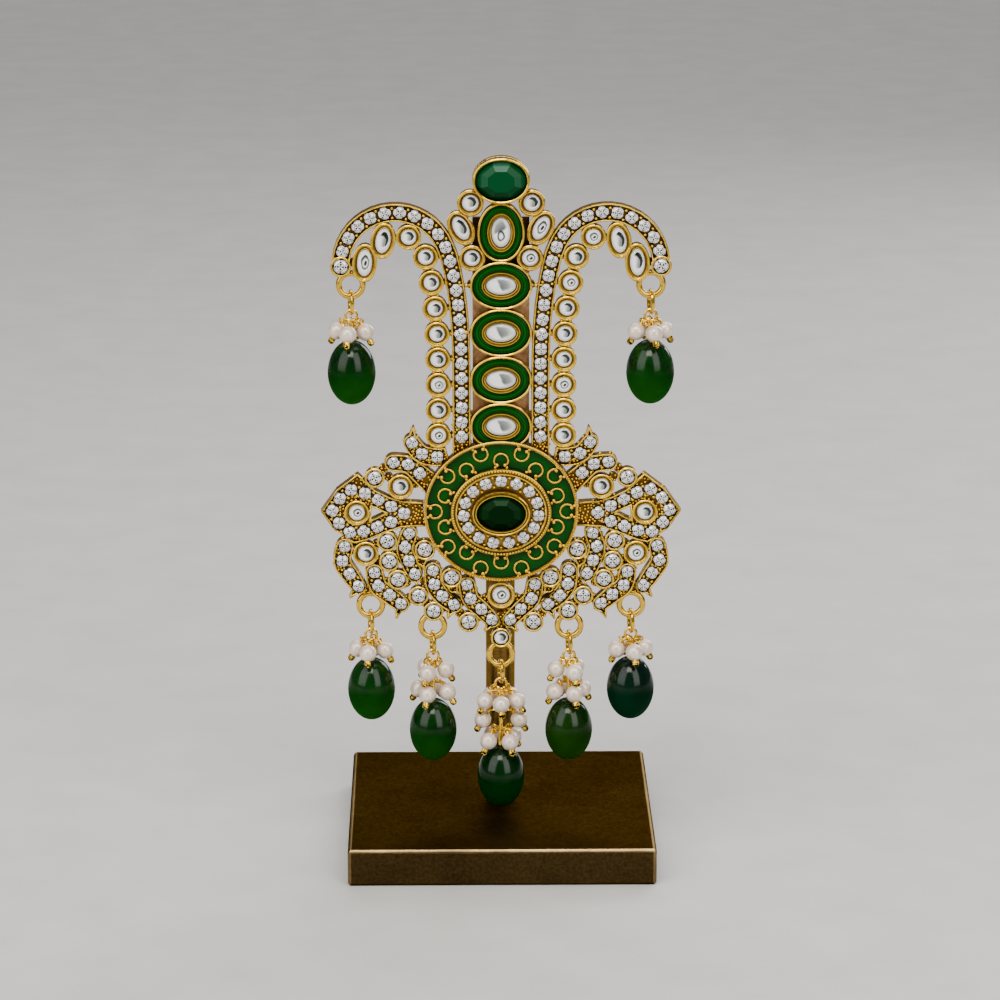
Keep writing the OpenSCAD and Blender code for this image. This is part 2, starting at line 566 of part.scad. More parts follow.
module drop_wire(drop, side) color([0.85, 0.64, 0.27]) at_hinge(drop, side) union() {
    foot_z = -drop[drop_bead] - bead_h / 2 - 0.1;
    translate([0, 0, eye_z]) rotate([90, 0, 0])
        rotate_extrude($fn = 48) translate([eye_r, 0]) circle(d = eye_wire, $fn = 24);
    translate([0, 0, foot_z - foot_r / 2]) cylinder(d = stem_d, h = eye_z - eye_r - foot_z + foot_r / 2, $fn = 24);
    translate([0, 0, foot_z - foot_r]) cylinder(r = foot_r, h = foot_r, $fn = 24);
    for (tier = drop[drop_tiers]) for (i = [0:tier[tier_count] - 1]) {
        p = pearl_at(tier, i, side);
        from = [0, 0, -tier[tier_down] + 2];
        reach = norm(p - from) - pearl_r - seat_gap;
        turn = atan2(p[1], p[0]);
        fall = atan2(norm(xy(p)), p[2] - from[2]);
        translate(from) rotate([0, fall, turn]) cylinder(d = 0.5, h = reach, $fn = 16);
    }
}
function pearl_at(tier, i, side) =
    let (turn = tier[tier_turn] + 360 * i / tier[tier_count])
    [side * tier[tier_out] * sin(turn), -tier[tier_out] * cos(turn), -tier[tier_down]];

// A green bead is turned from an ellipse, with a hole for its wire
module drop_bead(drop, side) color([0.02, 0.16, 0.03]) at_hinge(drop, side) translate([0, 0, -drop[drop_bead]]) {
    hole = stem_d / 2 + seat_gap;
    from = asin(2 * hole / bead_d);
    rotate_extrude($fn = 48) polygon([for (i = [0:16]) let (a = from + (180 - 2 * from) * i / 16)
        [bead_d / 2 * sin(a), bead_h / 2 * cos(a)]]);
}
module drop_pearls(drop, side) color([0.9, 0.82, 0.76]) at_hinge(drop, side)
    for (tier = drop[drop_tiers]) for (i = [0:tier[tier_count] - 1])
        translate(pearl_at(tier, i, side)) sphere(r = pearl_r, $fn = 24);

stand_plate();
stand_post();
turban_pin();
back_strap();
column_frame();
plume_left();
plume_right();
wing_frame();
medallion_frame();
medallion_enamel();
column_enamel(0);  // column_enamel_1
column_enamel(1);  // column_enamel_2
column_enamel(2);  // column_enamel_3
column_enamel(3);  // column_enamel_4
column_enamel(4);  // column_enamel_5
column_stone(0);  // column_stone_1
column_stone(1);  // column_stone_2
column_stone(2);  // column_stone_3
column_stone(3);  // column_stone_4
column_stone(4);  // column_stone_5
crown_stone();
centre_stone();
medallion_pave();
side_stones();
plume_pave_left();
plume_pave_right();
plume_stones_left();
plume_stones_right();
wing_pave_left();
wing_pave_right();
wing_stones();
drop_ring(HOOK_DROP, -1);  // hook_left_ring
drop_wire(HOOK_DROP, -1);  // hook_left_wire
drop_bead(HOOK_DROP, -1);  // hook_left_bead
drop_pearls(HOOK_DROP, -1);  // hook_left_pearls
drop_ring(HOOK_DROP, 1);  // hook_right_ring
drop_wire(HOOK_DROP, 1);  // hook_right_wire
drop_bead(HOOK_DROP, 1);  // hook_right_bead
drop_pearls(HOOK_DROP, 1);  // hook_right_pearls
drop_ring(OUTER_DROP, -1);  // outer_left_ring
drop_wire(OUTER_DROP, -1);  // outer_left_wire
drop_bead(OUTER_DROP, -1);  // outer_left_bead
drop_pearls(OUTER_DROP, -1);  // outer_left_pearls
drop_ring(OUTER_DROP, 1);  // outer_right_ring
drop_wire(OUTER_DROP, 1);  // outer_right_wire
drop_bead(OUTER_DROP, 1);  // outer_right_bead
drop_pearls(OUTER_DROP, 1);  // outer_right_pearls
drop_ring(INNER_DROP, -1);  // inner_left_ring
drop_wire(INNER_DROP, -1);  // inner_left_wire
drop_bead(INNER_DROP, -1);  // inner_left_bead
drop_pearls(INNER_DROP, -1);  // inner_left_pearls
drop_ring(INNER_DROP, 1);  // inner_right_ring
drop_wire(INNER_DROP, 1);  // inner_right_wire
drop_bead(INNER_DROP, 1);  // inner_right_bead
drop_pearls(INNER_DROP, 1);  // inner_right_pearls
drop_ring(MAIN_DROP, 1);  // main_ring
drop_wire(MAIN_DROP, 1);  // main_wire
drop_bead(MAIN_DROP, 1);  // main_bead
drop_pearls(MAIN_DROP, 1);  // main_pearls
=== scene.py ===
import math
import random
from collections import namedtuple

import bmesh
import bpy
from bpy.props import FloatProperty, FloatVectorProperty, IntProperty, PointerProperty
from mathutils import Matrix, Vector


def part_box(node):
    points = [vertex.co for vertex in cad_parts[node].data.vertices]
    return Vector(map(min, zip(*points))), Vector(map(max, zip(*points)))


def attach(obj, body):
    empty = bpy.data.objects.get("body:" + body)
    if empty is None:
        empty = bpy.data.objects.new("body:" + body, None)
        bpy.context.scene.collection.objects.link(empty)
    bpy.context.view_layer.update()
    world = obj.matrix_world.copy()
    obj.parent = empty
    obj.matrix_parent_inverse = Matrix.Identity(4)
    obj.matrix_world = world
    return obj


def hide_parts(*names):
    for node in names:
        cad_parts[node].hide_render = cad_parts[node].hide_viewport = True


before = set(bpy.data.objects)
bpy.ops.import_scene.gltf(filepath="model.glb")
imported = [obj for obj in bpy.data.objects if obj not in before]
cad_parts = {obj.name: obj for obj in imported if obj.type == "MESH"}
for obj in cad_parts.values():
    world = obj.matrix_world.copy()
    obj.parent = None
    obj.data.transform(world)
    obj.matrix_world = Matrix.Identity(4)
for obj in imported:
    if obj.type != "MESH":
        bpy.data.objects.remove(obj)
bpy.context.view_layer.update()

bl_info = {
    "name": "Turban Ornament",
    "version": (1, 0, 0),
    "blender": (4, 5, 0),
    "location": "3D View > Sidebar > Ornament",
    "description": "Dresses a gilt and enamelled turban ornament on its brass stand",
    "category": "Object",
}

MM = 0.001
ROOT = "ornament_and_stand"
DROPS = ("hook_left", "hook_right", "outer_left", "outer_right", "inner_left", "inner_right", "main")
FRAMES = ("column_frame", "plume_left", "plume_right", "wing_frame", "medallion_frame")
PAVE = ("plume_pave_left", "plume_pave_right", "wing_pave_left", "wing_pave_right")
CUPS = ("side_stones", "plume_stones_left", "plume_stones_right", "wing_stones")
COLUMN = tuple(f"column_stone_{i}" for i in range(1, 6))

# The gilt work's back plane: local x to the right, y up and z towards the viewer
_low, _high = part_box("medallion_frame")
MEDALLION = Vector(((_low.x + _high.x) / 2, _high.y, (_low.z + _high.z) / 2))
FACE = Matrix.Translation(MEDALLION) @ Matrix.Rotation(math.radians(90), 4, "X")
QUARTER = math.radians(90)

# A stone's centre, lift, half width and half height in millimetres on the face, and its turn
Stone = namedtuple("Stone", "x y lift a b turn")


# Selecting, placing and joining


def active():
    return bpy.context.view_layer.objects.active


def clear_selection():
    bpy.ops.object.select_all(action="DESELECT")


def select(*objs):
    clear_selection()
    for obj in objs:
        obj.select_set(True)
    bpy.context.view_layer.objects.active = objs[0]


def edit(mode="VERT", action="SELECT"):
    bpy.ops.object.mode_set(mode="EDIT")
    bpy.ops.mesh.select_mode(type=mode)
    bpy.ops.mesh.select_all(action=action)


def edit_faces(obj, chosen):
    """Opens a piece for editing with the chosen faces selected."""
    for face in obj.data.polygons:
        face.select = chosen(face)
    bpy.ops.object.mode_set(mode="EDIT")
    bpy.ops.mesh.select_mode(type="FACE")


def leave_edit():
    bpy.ops.object.mode_set(mode="OBJECT")


def settle():
    bpy.ops.object.transform_apply(location=True, rotation=True, scale=True)


def on_face(x, y, lift, turn=0.0, size=(1, 1, 1)):
    """A place on the ornament's front: millimetres from the medallion's centre and above the back plane."""
    spot = Matrix.Translation(Vector((x, y, lift)) * MM)
    return FACE @ spot @ Matrix.Rotation(turn, 4, "Z") @ Matrix.Diagonal((*size, 1))


def along(spot, direction, size):
    """A place at a spot, with its z along a direction."""
    turn = direction.to_track_quat("Z", "Y").to_matrix().to_4x4()
    return Matrix.Translation(spot) @ turn @ Matrix.Diagonal((size, size, size, 1))


def paint(node, material):
    """Gives all of a CAD node one material."""
    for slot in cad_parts[node].material_slots:
        slot.material = material


def finish(obj, name, material, body=ROOT, angle=35, node=None):
    """Names a finished piece, settles its place in its mesh and hangs it on its body.

    With a node, it takes the place of that CAD node."""
    select(obj)
    settle()
    if angle:
        bpy.ops.object.shade_smooth_by_angle(angle=math.radians(angle))
    obj.name = name
    obj.data.name = name
    obj.data.materials.clear()
    obj.data.materials.append(material)
    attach(obj, body)
    if node:
        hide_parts(node)


def join(parts):
    select(*parts)
    if len(parts) > 1:
        bpy.ops.object.join()
    return active()


def copies(master, places):
    """Copies a modelled piece to each place, with a mesh of its own, and joins them."""
    made = []
    for place in places:
        twin = master.copy()
        twin.data = master.data.copy()
        twin.matrix_world = place
        bpy.context.scene.collection.objects.link(twin)
        made.append(twin)
    bpy.data.objects.remove(master)
    select(*made)
    settle()
    return join(made)


# Reading the stones and pearls from the frame


def loose_pieces(node):
    """The corner points of each loose solid of a CAD node."""
    mesh = bmesh.new()
    mesh.from_mesh(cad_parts[node].data)
    bmesh.ops.remove_doubles(mesh, verts=mesh.verts, dist=1e-7)
    left = set(mesh.verts)
    pieces = []
    for seed in mesh.verts:
        if seed not in left:
            continue
        left.discard(seed)
        piece = [seed]
        for vert in piece:
            for edge in vert.link_edges:
                other = edge.other_vert(vert)
                if other in left:
                    left.discard(other)
                    piece.append(other)
        pieces.append([vert.co.copy() for vert in piece])
    mesh.free()
    return pieces


def stones_of(*nodes):
    """Each stone of the CAD nodes, measured on its flat foot."""
    stones = []
    to_face = FACE.inverted()
    for node in nodes:
        found = []
        for piece in loose_pieces(node):
            points = [to_face @ co / MM for co in piece]
            back = min(p.z for p in points)
            ring = [p for p in points if p.z < back + 1e-3]
            middle = sum(ring, Vector()) / len(ring)
            xx = sum((p.x - middle.x) ** 2 for p in ring) / len(ring)
            yy = sum((p.y - middle.y) ** 2 for p in ring) / len(ring)
            xy = sum((p.x - middle.x) * (p.y - middle.y) for p in ring) / len(ring)
            spread = math.hypot((xx - yy) / 2, xy)
            turn = 0.5 * math.atan2(2 * xy, xx - yy) if spread > 1e-3 else 0.0
            a, b = (math.sqrt(2 * ((xx + yy) / 2 + way)) for way in (spread, -spread))
            found.append(Stone(middle.x, middle.y, back, a, b, turn))
        stones += sorted(found, key=lambda stone: (round(stone.y, 2), round(stone.x, 2)))
    return stones


def edge_gap(stone, x, y):
    """How far a spot on the face lies outside a stone's edge, in millimetres."""
    aside, above = x - stone.x, y - stone.y
    along_a = aside * math.cos(stone.turn) + above * math.sin(stone.turn)
    along_b = above * math.cos(stone.turn) - aside * math.sin(stone.turn)
    reach = math.hypot(along_a / stone.a, along_b / stone.b)
    return math.hypot(aside, above) * (1 - 1 / max(reach, 1e-6))


def balls_of(node):
    """The centre and radius of each loose ball of a CAD node."""
    found = []
    for piece in loose_pieces(node):
        low, high = (Vector([pick(co[i] for co in piece) for i in range(3)]) for pick in (min, max))
        found.append(((low + high) / 2, (high.z - low.z) / 2))
    return sorted(found, key=lambda ball: tuple(round(c, 5) for c in ball[0]))


# Shader helpers


class Value:
    """What a node puts out. A sum with it adds the nodes that the sum needs."""

    def __init__(self, nodes, node, output=0):
        self.nodes = nodes
        self.node = node
        self.socket = node.outputs[output]

    def __getitem__(self, output):
        return Value(self.nodes, self.node, output)

    def math(self, operation, *others):
        return self.nodes.add("Math", self, *others, operation=operation)

    def __add__(self, other):
        return self.math("ADD", other)

    def __sub__(self, other):
        return self.math("SUBTRACT", other)

    def __rsub__(self, other):
        return self.nodes.add("Math", other, self, operation="SUBTRACT")

    def __mul__(self, other):
        return self.math("MULTIPLY", other)

    def __pow__(self, other):
        return self.math("POWER", other)

    def __abs__(self):
        return self.math("ABSOLUTE")

    def least(self, other):
        return self.math("MINIMUM", other)

    def most(self, other):
        return self.math("MAXIMUM", other)

    def fade(self, start, end, low=0.0, high=1.0, **settings):
        """Goes from low to high while this goes from start to end."""
        return self.nodes.add("MapRange", self, start, end, low, high, **settings)

    def step(self, start, end, low=0.0, high=1.0):
        """A fade with soft ends."""
        return self.fade(start, end, low, high, interpolation_type="SMOOTHSTEP")

    def vector(self, operation, *others):
        return self.nodes.add("VectorMath", self, *others, operation=operation)

    def axes(self):
        parts = self.nodes.add("SeparateXYZ", self)
        return parts[0], parts[1], parts[2]


class Nodes:
    """The nodes of a material or of a group, while it is written."""

    def __init__(self, tree, material=None):
        self.tree = tree
        self.material = material

    def add(self, kind, *values, **named):
        """Adds a node. Values are set or linked to its inputs in order, and None leaves an input alone.

        A name in small letters is a property, and another an input, with underscores for spaces."""
        node = self.tree.nodes.new("ShaderNode" + kind)
        inputs = dict(enumerate(values))
        for key, value in named.items():
            if key.islower():
                setattr(node, key, value)
            else:
                inputs[key.replace("_", " ")] = value
        for key, value in inputs.items():
            socket = node.inputs[key]
            if isinstance(value, Value):
                self.tree.links.new(value.socket, socket)
            elif value is not None:
                opaque = socket.type == "RGBA" and len(value) == 3
                socket.default_value = (*value, 1) if opaque else value
        return Value(self, node)

    def place(self):
        return self.add("TexCoord")["Object"]

    def facing(self):
        """How far a face looks to the ornament's back."""
        return self.add("NewGeometry")["True Normal"].axes()[1]

    def kept(self, attribute):
        return self.add("Attribute", attribute_name=attribute)["Fac"]

    def noise(self, place, scale, detail, **settings):
        return self.add("TexNoise", place, Scale=scale, Detail=detail, **settings)

    def open_air(self, reach):
        return self.add("AmbientOcclusion", samples=6, Distance=reach * MM)["AO"]

    def bump(self, height, strength, depth, normal=None):
        return self.add("Bump", Height=height, Strength=strength, Distance=depth * MM, Normal=normal)

    def ramp(self, factor, *stops):
        """A colour ramp through (position, colour) stops."""
        made = self.add("ValToRGB", factor)
        elements = made.node.color_ramp.elements
        while len(elements) < len(stops):
            elements.new(0.5)
        for element, (position, colour) in zip(elements, stops):
            element.position = position
            element.color = (*colour, 1)
        return made

    def mix(self, factor, first, second, blend="MIX"):
        unused = (None,) * 5
        return self.add("Mix", factor, *unused, first, second, data_type="RGBA", blend_type=blend)[2]

    def tinted(self, colour, tone):
        return self.mix(1.0, colour, self.add("CombineColor", tone, tone, tone), "MULTIPLY")

    def surface(self, **inputs):
        """Ends a material with its Principled shader."""
        shader = self.add("BsdfPrincipled", **inputs)
        output = self.tree.nodes.new("ShaderNodeOutputMaterial")
        self.tree.links.new(shader.socket, output.inputs[0])
        return self.material


def new_material(name):
    material = bpy.data.materials.new(name)
    material.use_nodes = True
    material.node_tree.nodes.clear()
    return Nodes(material.node_tree, material)


def group(name, inputs, build):
    """A node group that is built once. Inputs holds each input's kind, and build returns the outputs."""
    tree = bpy.data.node_groups.get(name)
    if tree:
        return tree
    tree = bpy.data.node_groups.new(name, "ShaderNodeTree")
    for socket, kind in inputs.items():
        tree.interface.new_socket(socket, in_out="INPUT", socket_type="NodeSocket" + kind)
    nodes = Nodes(tree)
    made = build(nodes, Value(nodes, tree.nodes.new("NodeGroupInput")))
    for socket in made:
        kind = "Color" if socket == "Color" else "Float"
        tree.interface.new_socket(socket, in_out="OUTPUT", socket_type="NodeSocket" + kind)
    leave = tree.nodes.new("NodeGroupOutput")
    for socket, value in made.items():
        tree.links.new(value.socket, leave.inputs[socket])
    return tree


# Finishes


def patina_and_shade_group():
    """Gilding that is bright on its raised edges and brown in its recesses, for patina and painted shade,
    with fine handling marks.
    """

    def build(nodes, given):
        fine = nodes.noise(given["Position"], 2600.0, 3.0)
        broad = nodes.noise(given["Position"], 420.0, 4.0)
        raised = (given["Height"] + (broad * 0.5 - 0.25)).step(0.0, 1.0)
        colour = nodes.mix(raised, given["Recess"], given["Gold"])
        rough = raised.fade(0.0, 1.0, 0.5, 0.13) + (broad * 0.2 - 0.1)
        tone = fine.fade(0.3, 0.7, 0.82, 1.08)
        return {"Color": nodes.tinted(colour, tone), "Roughness": rough, "Grain": fine}

    return group("gilding", {"Position": "Vector", "Height": "Float", "Gold": "Color", "Recess": "Color"},
                 build)


def gild(nodes, height, gold, strength, depth, normal=None):
    """Ends a gold material. Its height is 0 where it is brown and 1 where it is bright."""
    made = nodes.add("Group", node_tree=patina_and_shade_group(), Position=nodes.place(), Height=height, Gold=gold,
                     Recess=bpy.context.scene.ornament_gold.recess)
    bump = nodes.bump(made["Grain"], strength, depth, normal)
    return nodes.surface(Base_Color=made["Color"], Metallic=0.9, Roughness=made["Roughness"], Normal=bump)


def gilt_material(name, low, high):
    """Antique gold plate, brown at the height low and bright at high, in millimetres above the back, with
    painted shade where it is hemmed in.
    """
    style = bpy.context.scene.ornament_gold
    nodes = new_material(name)
    height = nodes.place().axes()[1].fade(MEDALLION.y - low * MM, MEDALLION.y - high * MM, clamp=False)
    facing = nodes.facing()
    wall = abs(facing).fade(0.3, 0.8, 0.62, 0.0)
    height = height.most(wall.most(facing.fade(0.5, 0.9, 0.0, 0.72)))
    # Painted shade: the gold turns brown where the ambient occlusion finds it hemmed in
    height = height.least(nodes.open_air(1.2).fade(0.25, 0.85, 0.0, 1.3))
    rounded = nodes.add("Bevel", style.edge_radius * MM, samples=4)
    return gild(nodes, height, style.gold, 0.25, 0.03, rounded)


def bright_gold(name="bright gold", reach=0.8, shaded=False, low=0.1):
    """Polished gold plate for rims, grains, loops and wires, with painted shade where it is hemmed in. A
    shaded one is brown where its mesh says so.
    """
    material = bpy.data.materials.get(name)
    if material:
        return material
    nodes = new_material(name)
    # Painted shade: brown where the ambient occlusion within reach finds the gold hemmed in
    height = nodes.open_air(reach).fade(0.15, 0.7, low, 1.2)
    if shaded:
        height = height.least(nodes.kept("shade"))
    return gild(nodes, height, bpy.context.scene.ornament_gold.bright, 0.15, 0.02)


def lipped_gold():
    return bright_gold("lipped gold", 0.4, True)


def fine_gold():
    return bright_gold("fine gold", 0.3, low=0.85)


def strap_material():
    """Pale, matt gold between the column's ovals, with painted shade that makes its top near black. Its back
    is like the other backs.
    """
    style = bpy.context.scene.ornament_gold
    nodes = new_material("pale matt gold")
    place = nodes.place()
    cloud = nodes.noise(place, 900.0, 4.0)
    colour = nodes.ramp(cloud, (0.3, (0.3, 0.15, 0.05)), (0.7, (0.66, 0.4, 0.19)))
    # Painted shade: the strap's top is painted near black
    top = place.axes()[2].fade(MEDALLION.z + 47.5 * MM, MEDALLION.z + 49.5 * MM)
    colour = nodes.mix(top, colour, (0.05, 0.024, 0.006))
    plain = Vector(style.recess).lerp(Vector(style.gold), 0.7)
    colour = nodes.mix(nodes.facing().fade(-0.8, -0.3), colour, plain)
    return nodes.surface(Base_Color=colour, Metallic=0.6, Roughness=0.5, Normal=nodes.bump(cloud, 0.4, 0.05))


def brushing(nodes, place, stretch):
    """Fine brushing along one axis, with broader stains and specks."""

    def build(nodes, given):
        drawn = given["Position"].vector("MULTIPLY", given["Stretch"])
        return {"Lines": nodes.noise(drawn, 1.0, 4.0, Roughness=0.65),
                "Stain": nodes.noise(given["Position"], 70.0, 5.0, Roughness=0.6),
                "Speck": nodes.noise(given["Position"], 1500.0, 2.0)}

    made = group("brushing", {"Position": "Vector", "Stretch": "Vector"}, build)
    return nodes.add("Group", node_tree=made, Position=place, Stretch=stretch)


def plate_material():
    """Browned brass with fine brushing, and bright brass along the plate's top edges and corners that is
    partly wear and partly a painted highlight.
    """
    style = bpy.context.scene.ornament_stand
    nodes = new_material("browned brass")
    place = nodes.place()
    brushed = brushing(nodes, place, (150.0, 5200.0, 5200.0))
    lines, stain, speck = brushed["Lines"], brushed["Stain"], brushed["Speck"]
    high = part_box("stand_plate")[1]
    x, y, z = place.axes()
    wide, deep, tall = high.x - abs(x), high.y - abs(y), high.z - z
    ragged = stain * (0.4 * MM) - 0.2 * MM

    def edge_wear_and_highlight(reach, start, end):
        return (reach - ragged).step(start * MM, end * MM, 1.0, 0.0)

    # Bright brass along the top edges and the corners: partly wear, partly a painted highlight
    brim = edge_wear_and_highlight(wide.least(deep) + tall, 0.3, 0.9) * edge_wear_and_highlight(tall, 0.1, 0.45)
    edge = brim.most(edge_wear_and_highlight(wide + deep, 0.2, 0.8) * 0.6)
    brown = nodes.ramp(stain, (0.25, style.brown_dark), (0.75, style.brown))
    grit = lines.fade(0.3, 0.7, 0.86, 1.14) * speck.fade(0.3, 0.7, 0.7, 1.35)
    colour = nodes.mix(edge, nodes.tinted(brown, grit), style.wear_and_highlight)
    bump = nodes.bump(speck, 0.2, 0.04, nodes.bump(lines, 0.35, 0.05))
    return nodes.surface(Base_Color=colour, Metallic=1.0, Roughness=lines * 0.25 + 0.38 - edge * 0.2,
                         Normal=bump, Specular_Tint=(0.42, 0.38, 0.3))


def post_material():
    """Golden brass, brushed round the post."""
    style = bpy.context.scene.ornament_stand
    nodes = new_material("brushed brass")
    brushed = brushing(nodes, nodes.place(), (500.0, 500.0, 5200.0))
    colour = nodes.ramp(brushed["Lines"], (0.3, style.post_dark), (0.7, style.post))
    return nodes.surface(Base_Color=colour, Metallic=1.0, Roughness=brushed["Stain"] * 0.2 + 0.2,
                         Normal=nodes.bump(brushed["Lines"], 0.3, 0.04), Specular_Tint=(0.75, 0.6, 0.35))


def enamel_group():
    """Translucent enamel over concentric engraved lines, with painted shade towards its inner and outer
    edges.
    """

    def build(nodes, given):
        local = given["Position"].vector("SUBTRACT", given["Centre"])
        local = local.vector("MULTIPLY", given["Per Half Size"])
        radius = local.vector("MULTIPLY", (1.0, 0.0, 1.0)).vector("LENGTH")["Value"]
        across = radius.fade(given["Inner"], 1.0)
        cloud = nodes.noise(given["Position"], 320.0, 4.0)
        lines = (across * given["Lines"] * (2 * math.pi)).math("COSINE") * 0.5 + 0.5
        # Painted shade: the band is lighter along its middle and darker towards both edges
        dome_shading = 1.0 - abs((across - 0.5) * 2.0) ** 2.0
        return {"Tone": cloud * 0.5 + (lines * given["Line Depth"] + dome_shading * 0.45), "Lines": lines}

    return group("engraved enamel", {"Position": "Vector", "Centre": "Vector", "Per Half Size": "Vector",
                                     "Inner": "Float", "Lines": "Float", "Line Depth": "Float"}, build)


def enamel_material(name, x, y, half, inner, lines, depth):
    """Enamel of an oval at x and y on the face. Half is its half width and half height in millimetres."""
    style = bpy.context.scene.ornament_gold
    nodes = new_material(name)
    made = nodes.add("Group", node_tree=enamel_group(), Position=nodes.place(),
                     Centre=on_face(x, y, 0).translation,
                     Per_Half_Size=(1 / (half[0] * MM), 1.0, 1 / (half[1] * MM)),
                     Inner=inner, Lines=lines, Line_Depth=depth)
    # Painted shade: the enamel is painted darker where the ambient occlusion finds it hemmed in by its rims
    thin = nodes.open_air(1.6).fade(0.3, 0.85, 0.25, 1.0)
    colour = nodes.ramp(made["Tone"] * thin, (0.1, style.enamel_dark), (0.95, style.enamel))
    return nodes.surface(Base_Color=colour, Roughness=0.35, Specular_IOR_Level=0.03, Coat_Weight=0.35,
                         Coat_Roughness=0.09, Coat_IOR=1.33, Normal=nodes.bump(made["Lines"], 0.3, 0.1))


def facet_material(name, stops, metallic, specular, roughness=0.05, coat=0.2):
    """A cut stone over foil. Each facet has a tone of its own, kept in the mesh: painted light and shade for
    what the facet reflects.
    """
    nodes = new_material(name)
    colour = nodes.ramp(nodes.kept("facet"), *stops)
    return nodes.surface(Base_Color=colour, Metallic=metallic, Roughness=roughness,
                         Specular_IOR_Level=specular, Coat_Weight=coat, Coat_Roughness=0.03)


def foil_material(name, wedge):
    """Polished glass over silver foil, with painted reflections in it, a grey crescent or an eye or else a
    wedge, and painted shade round its rim.
    """
    nodes = new_material(name)
    seed = nodes.kept("facet")
    local = nodes.add("UVMap", uv_map="facing").vector("SUBTRACT", (0.5, 0.5, 0.0))
    local = local.vector("MULTIPLY", (2.0, 2.0, 0.0))
    warp = nodes.noise(local, 1.6, 2.0)["Color"].vector("SUBTRACT", (0.5, 0.5, 0.5))
    bent = warp.vector("MULTIPLY_ADD", (0.3, 0.3, 0.0), local)
    x, y, _ = bent.axes()

    def disc(across, up, size, soft):
        away = bent.vector("DISTANCE", nodes.add("CombineXYZ", across, up))["Value"]
        return away.step(size - soft, size + soft, 1.0, 0.0)

    # Painted reflections: the grey and dark shapes that the glass reflects, placed after the stone's seed
    if wedge:
        aside = x - (seed * 0.32 - 0.14)
        inside = (y * 0.35 + aside).step(-0.14, 0.04) * (aside * -0.4 + y).step(-0.8, -0.3)
        inside = inside * y.step(0.85, 0.45)
        fill = aside.fade(-0.1, 0.9, 0.9, 0.08) * y.fade(-0.5, 0.7, 1.0, 0.5)
        ring = disc(-0.18, 0.0, 0.36, 0.06) * (1.0 - disc(-0.22, 0.0, 0.22, 0.07)) * seed.step(0.85, 0.95)
        mark = (inside * fill).most(ring * 0.8)
    else:
        aside, above = seed * 0.2 + 0.08, seed * -0.24 + 0.16
        outer, inner = disc(aside, above, 0.58, 0.04), disc(aside - 0.36, above - 0.22, 0.56, 0.12)
        crescent = (outer * (1.0 - inner)).most(outer * inner * x.fade(-0.3, 0.4, 0.0, 0.8) * 0.8)
        eye = disc(0.08, 0.06, 0.52, 0.06) * (1.0 - disc(0.1, 0.02, 0.38, 0.1)) * 0.8
        turned = seed.step(0.5, 0.52)
        mark = (crescent * (1.0 - turned)).most(eye.most(disc(0.12, 0.0, 0.17, 0.07)) * turned)
    # Painted shade: a grey limb inside the rim and a dark line at the edge, the bezel's shadow
    radius = local.vector("LENGTH")["Value"]
    rim = radius.step(0.58, 0.95, 0.0, 0.17).most(radius.step(0.92, 0.99) * 0.55)
    colour = nodes.ramp(mark.most(rim), (0.0, (1.0, 1.0, 0.98)), (0.35, (0.26, 0.29, 0.275)),
                        (0.85, (0.012, 0.015, 0.014)))
    return nodes.surface(Base_Color=colour, Roughness=0.15, Specular_IOR_Level=0.3, Coat_Weight=0.4,
                         Coat_Roughness=0.03)


def bead_material(name, core, rim, top, bottom):
    """Green glass that is darker and glossier at its top, with painted light that makes it lighter and
    yellower low down.
    """
    nodes = new_material(name)
    place = nodes.place()
    cloud = nodes.noise(place, 170.0, 4.0, Distortion=0.6)
    colour = nodes.ramp(cloud, (0.3, core), (0.8, Vector(core).lerp(Vector(rim), 0.45)))
    # Painted light: lighter and yellower towards the bottom, for light shining through the bead
    low = place.axes()[2].fade(top, bottom)
    colour = nodes.mix(low ** 1.6, colour, rim)
    return nodes.surface(Base_Color=colour, Roughness=0.4, Specular_IOR_Level=0.0,
                         Coat_Weight=low.step(0.08, 0.42, 0.8, 0.04), Coat_Roughness=0.13, Coat_IOR=1.42,
                         Subsurface_Weight=0.3, Subsurface_Radius=(0.3 * MM, 2.4 * MM, 0.5 * MM),
                         Subsurface_Scale=1.0)


def pearl_material():
    """Cream and pink nacre with a soft lustre."""
    nodes = new_material("pearl lustre")
    place = nodes.place()
    crinkle = nodes.noise(place, 1900.0, 3.0, Distortion=0.8)
    tone = nodes.noise(place, 420.0, 3.0) * 0.7 + crinkle * 0.3
    colour = nodes.ramp(tone, (0.3, (0.66, 0.52, 0.42)), (0.5, (0.82, 0.68, 0.55)), (0.7, (0.93, 0.82, 0.67)))
    return nodes.surface(Base_Color=colour, Metallic=0.2, Roughness=0.34, Coat_Weight=1.0,
                         Coat_Roughness=0.14, Coat_IOR=1.6, Normal=nodes.bump(crinkle, 0.3, 0.06))


# Small shapes that are modelled once and copied


def keep_tones(obj, name, domain, tones):
    """Keeps a tone for each corner or point in the mesh, as a colour attribute that a material reads."""
    kept = obj.data.color_attributes.new(name=name, type="FLOAT_COLOR", domain=domain)
    for i, tone in enumerate(tones):
        kept.data[i].color = (tone, tone, tone, 1)


def tone_facets(obj, tone_of):
    tones = [0.0] * len(obj.data.loops)
    for face in obj.data.polygons:
        tone = tone_of(face)
        for corner in face.loop_indices:
            tones[corner] = tone
    keep_tones(obj, "facet", "CORNER", tones)


def add_ring(vertices, radius, lift, turn=0.0):
    bpy.ops.mesh.primitive_circle_add(vertices=vertices, radius=radius, location=(0, 0, lift),
                                      rotation=(0, 0, turn))


def stone_through(first, *rings):
    """A closed convex stone through rings, and still open for editing."""
    clear_selection()
    add_ring(*first)
    obj = active()
    edit()
    for ring in rings:
        add_ring(*ring)
    bpy.ops.mesh.select_all(action="SELECT")
    bpy.ops.mesh.convex_hull()
    bpy.ops.mesh.select_all(action="SELECT")
    bpy.ops.mesh.dissolve_limited(angle_limit=math.radians(1))
    return obj


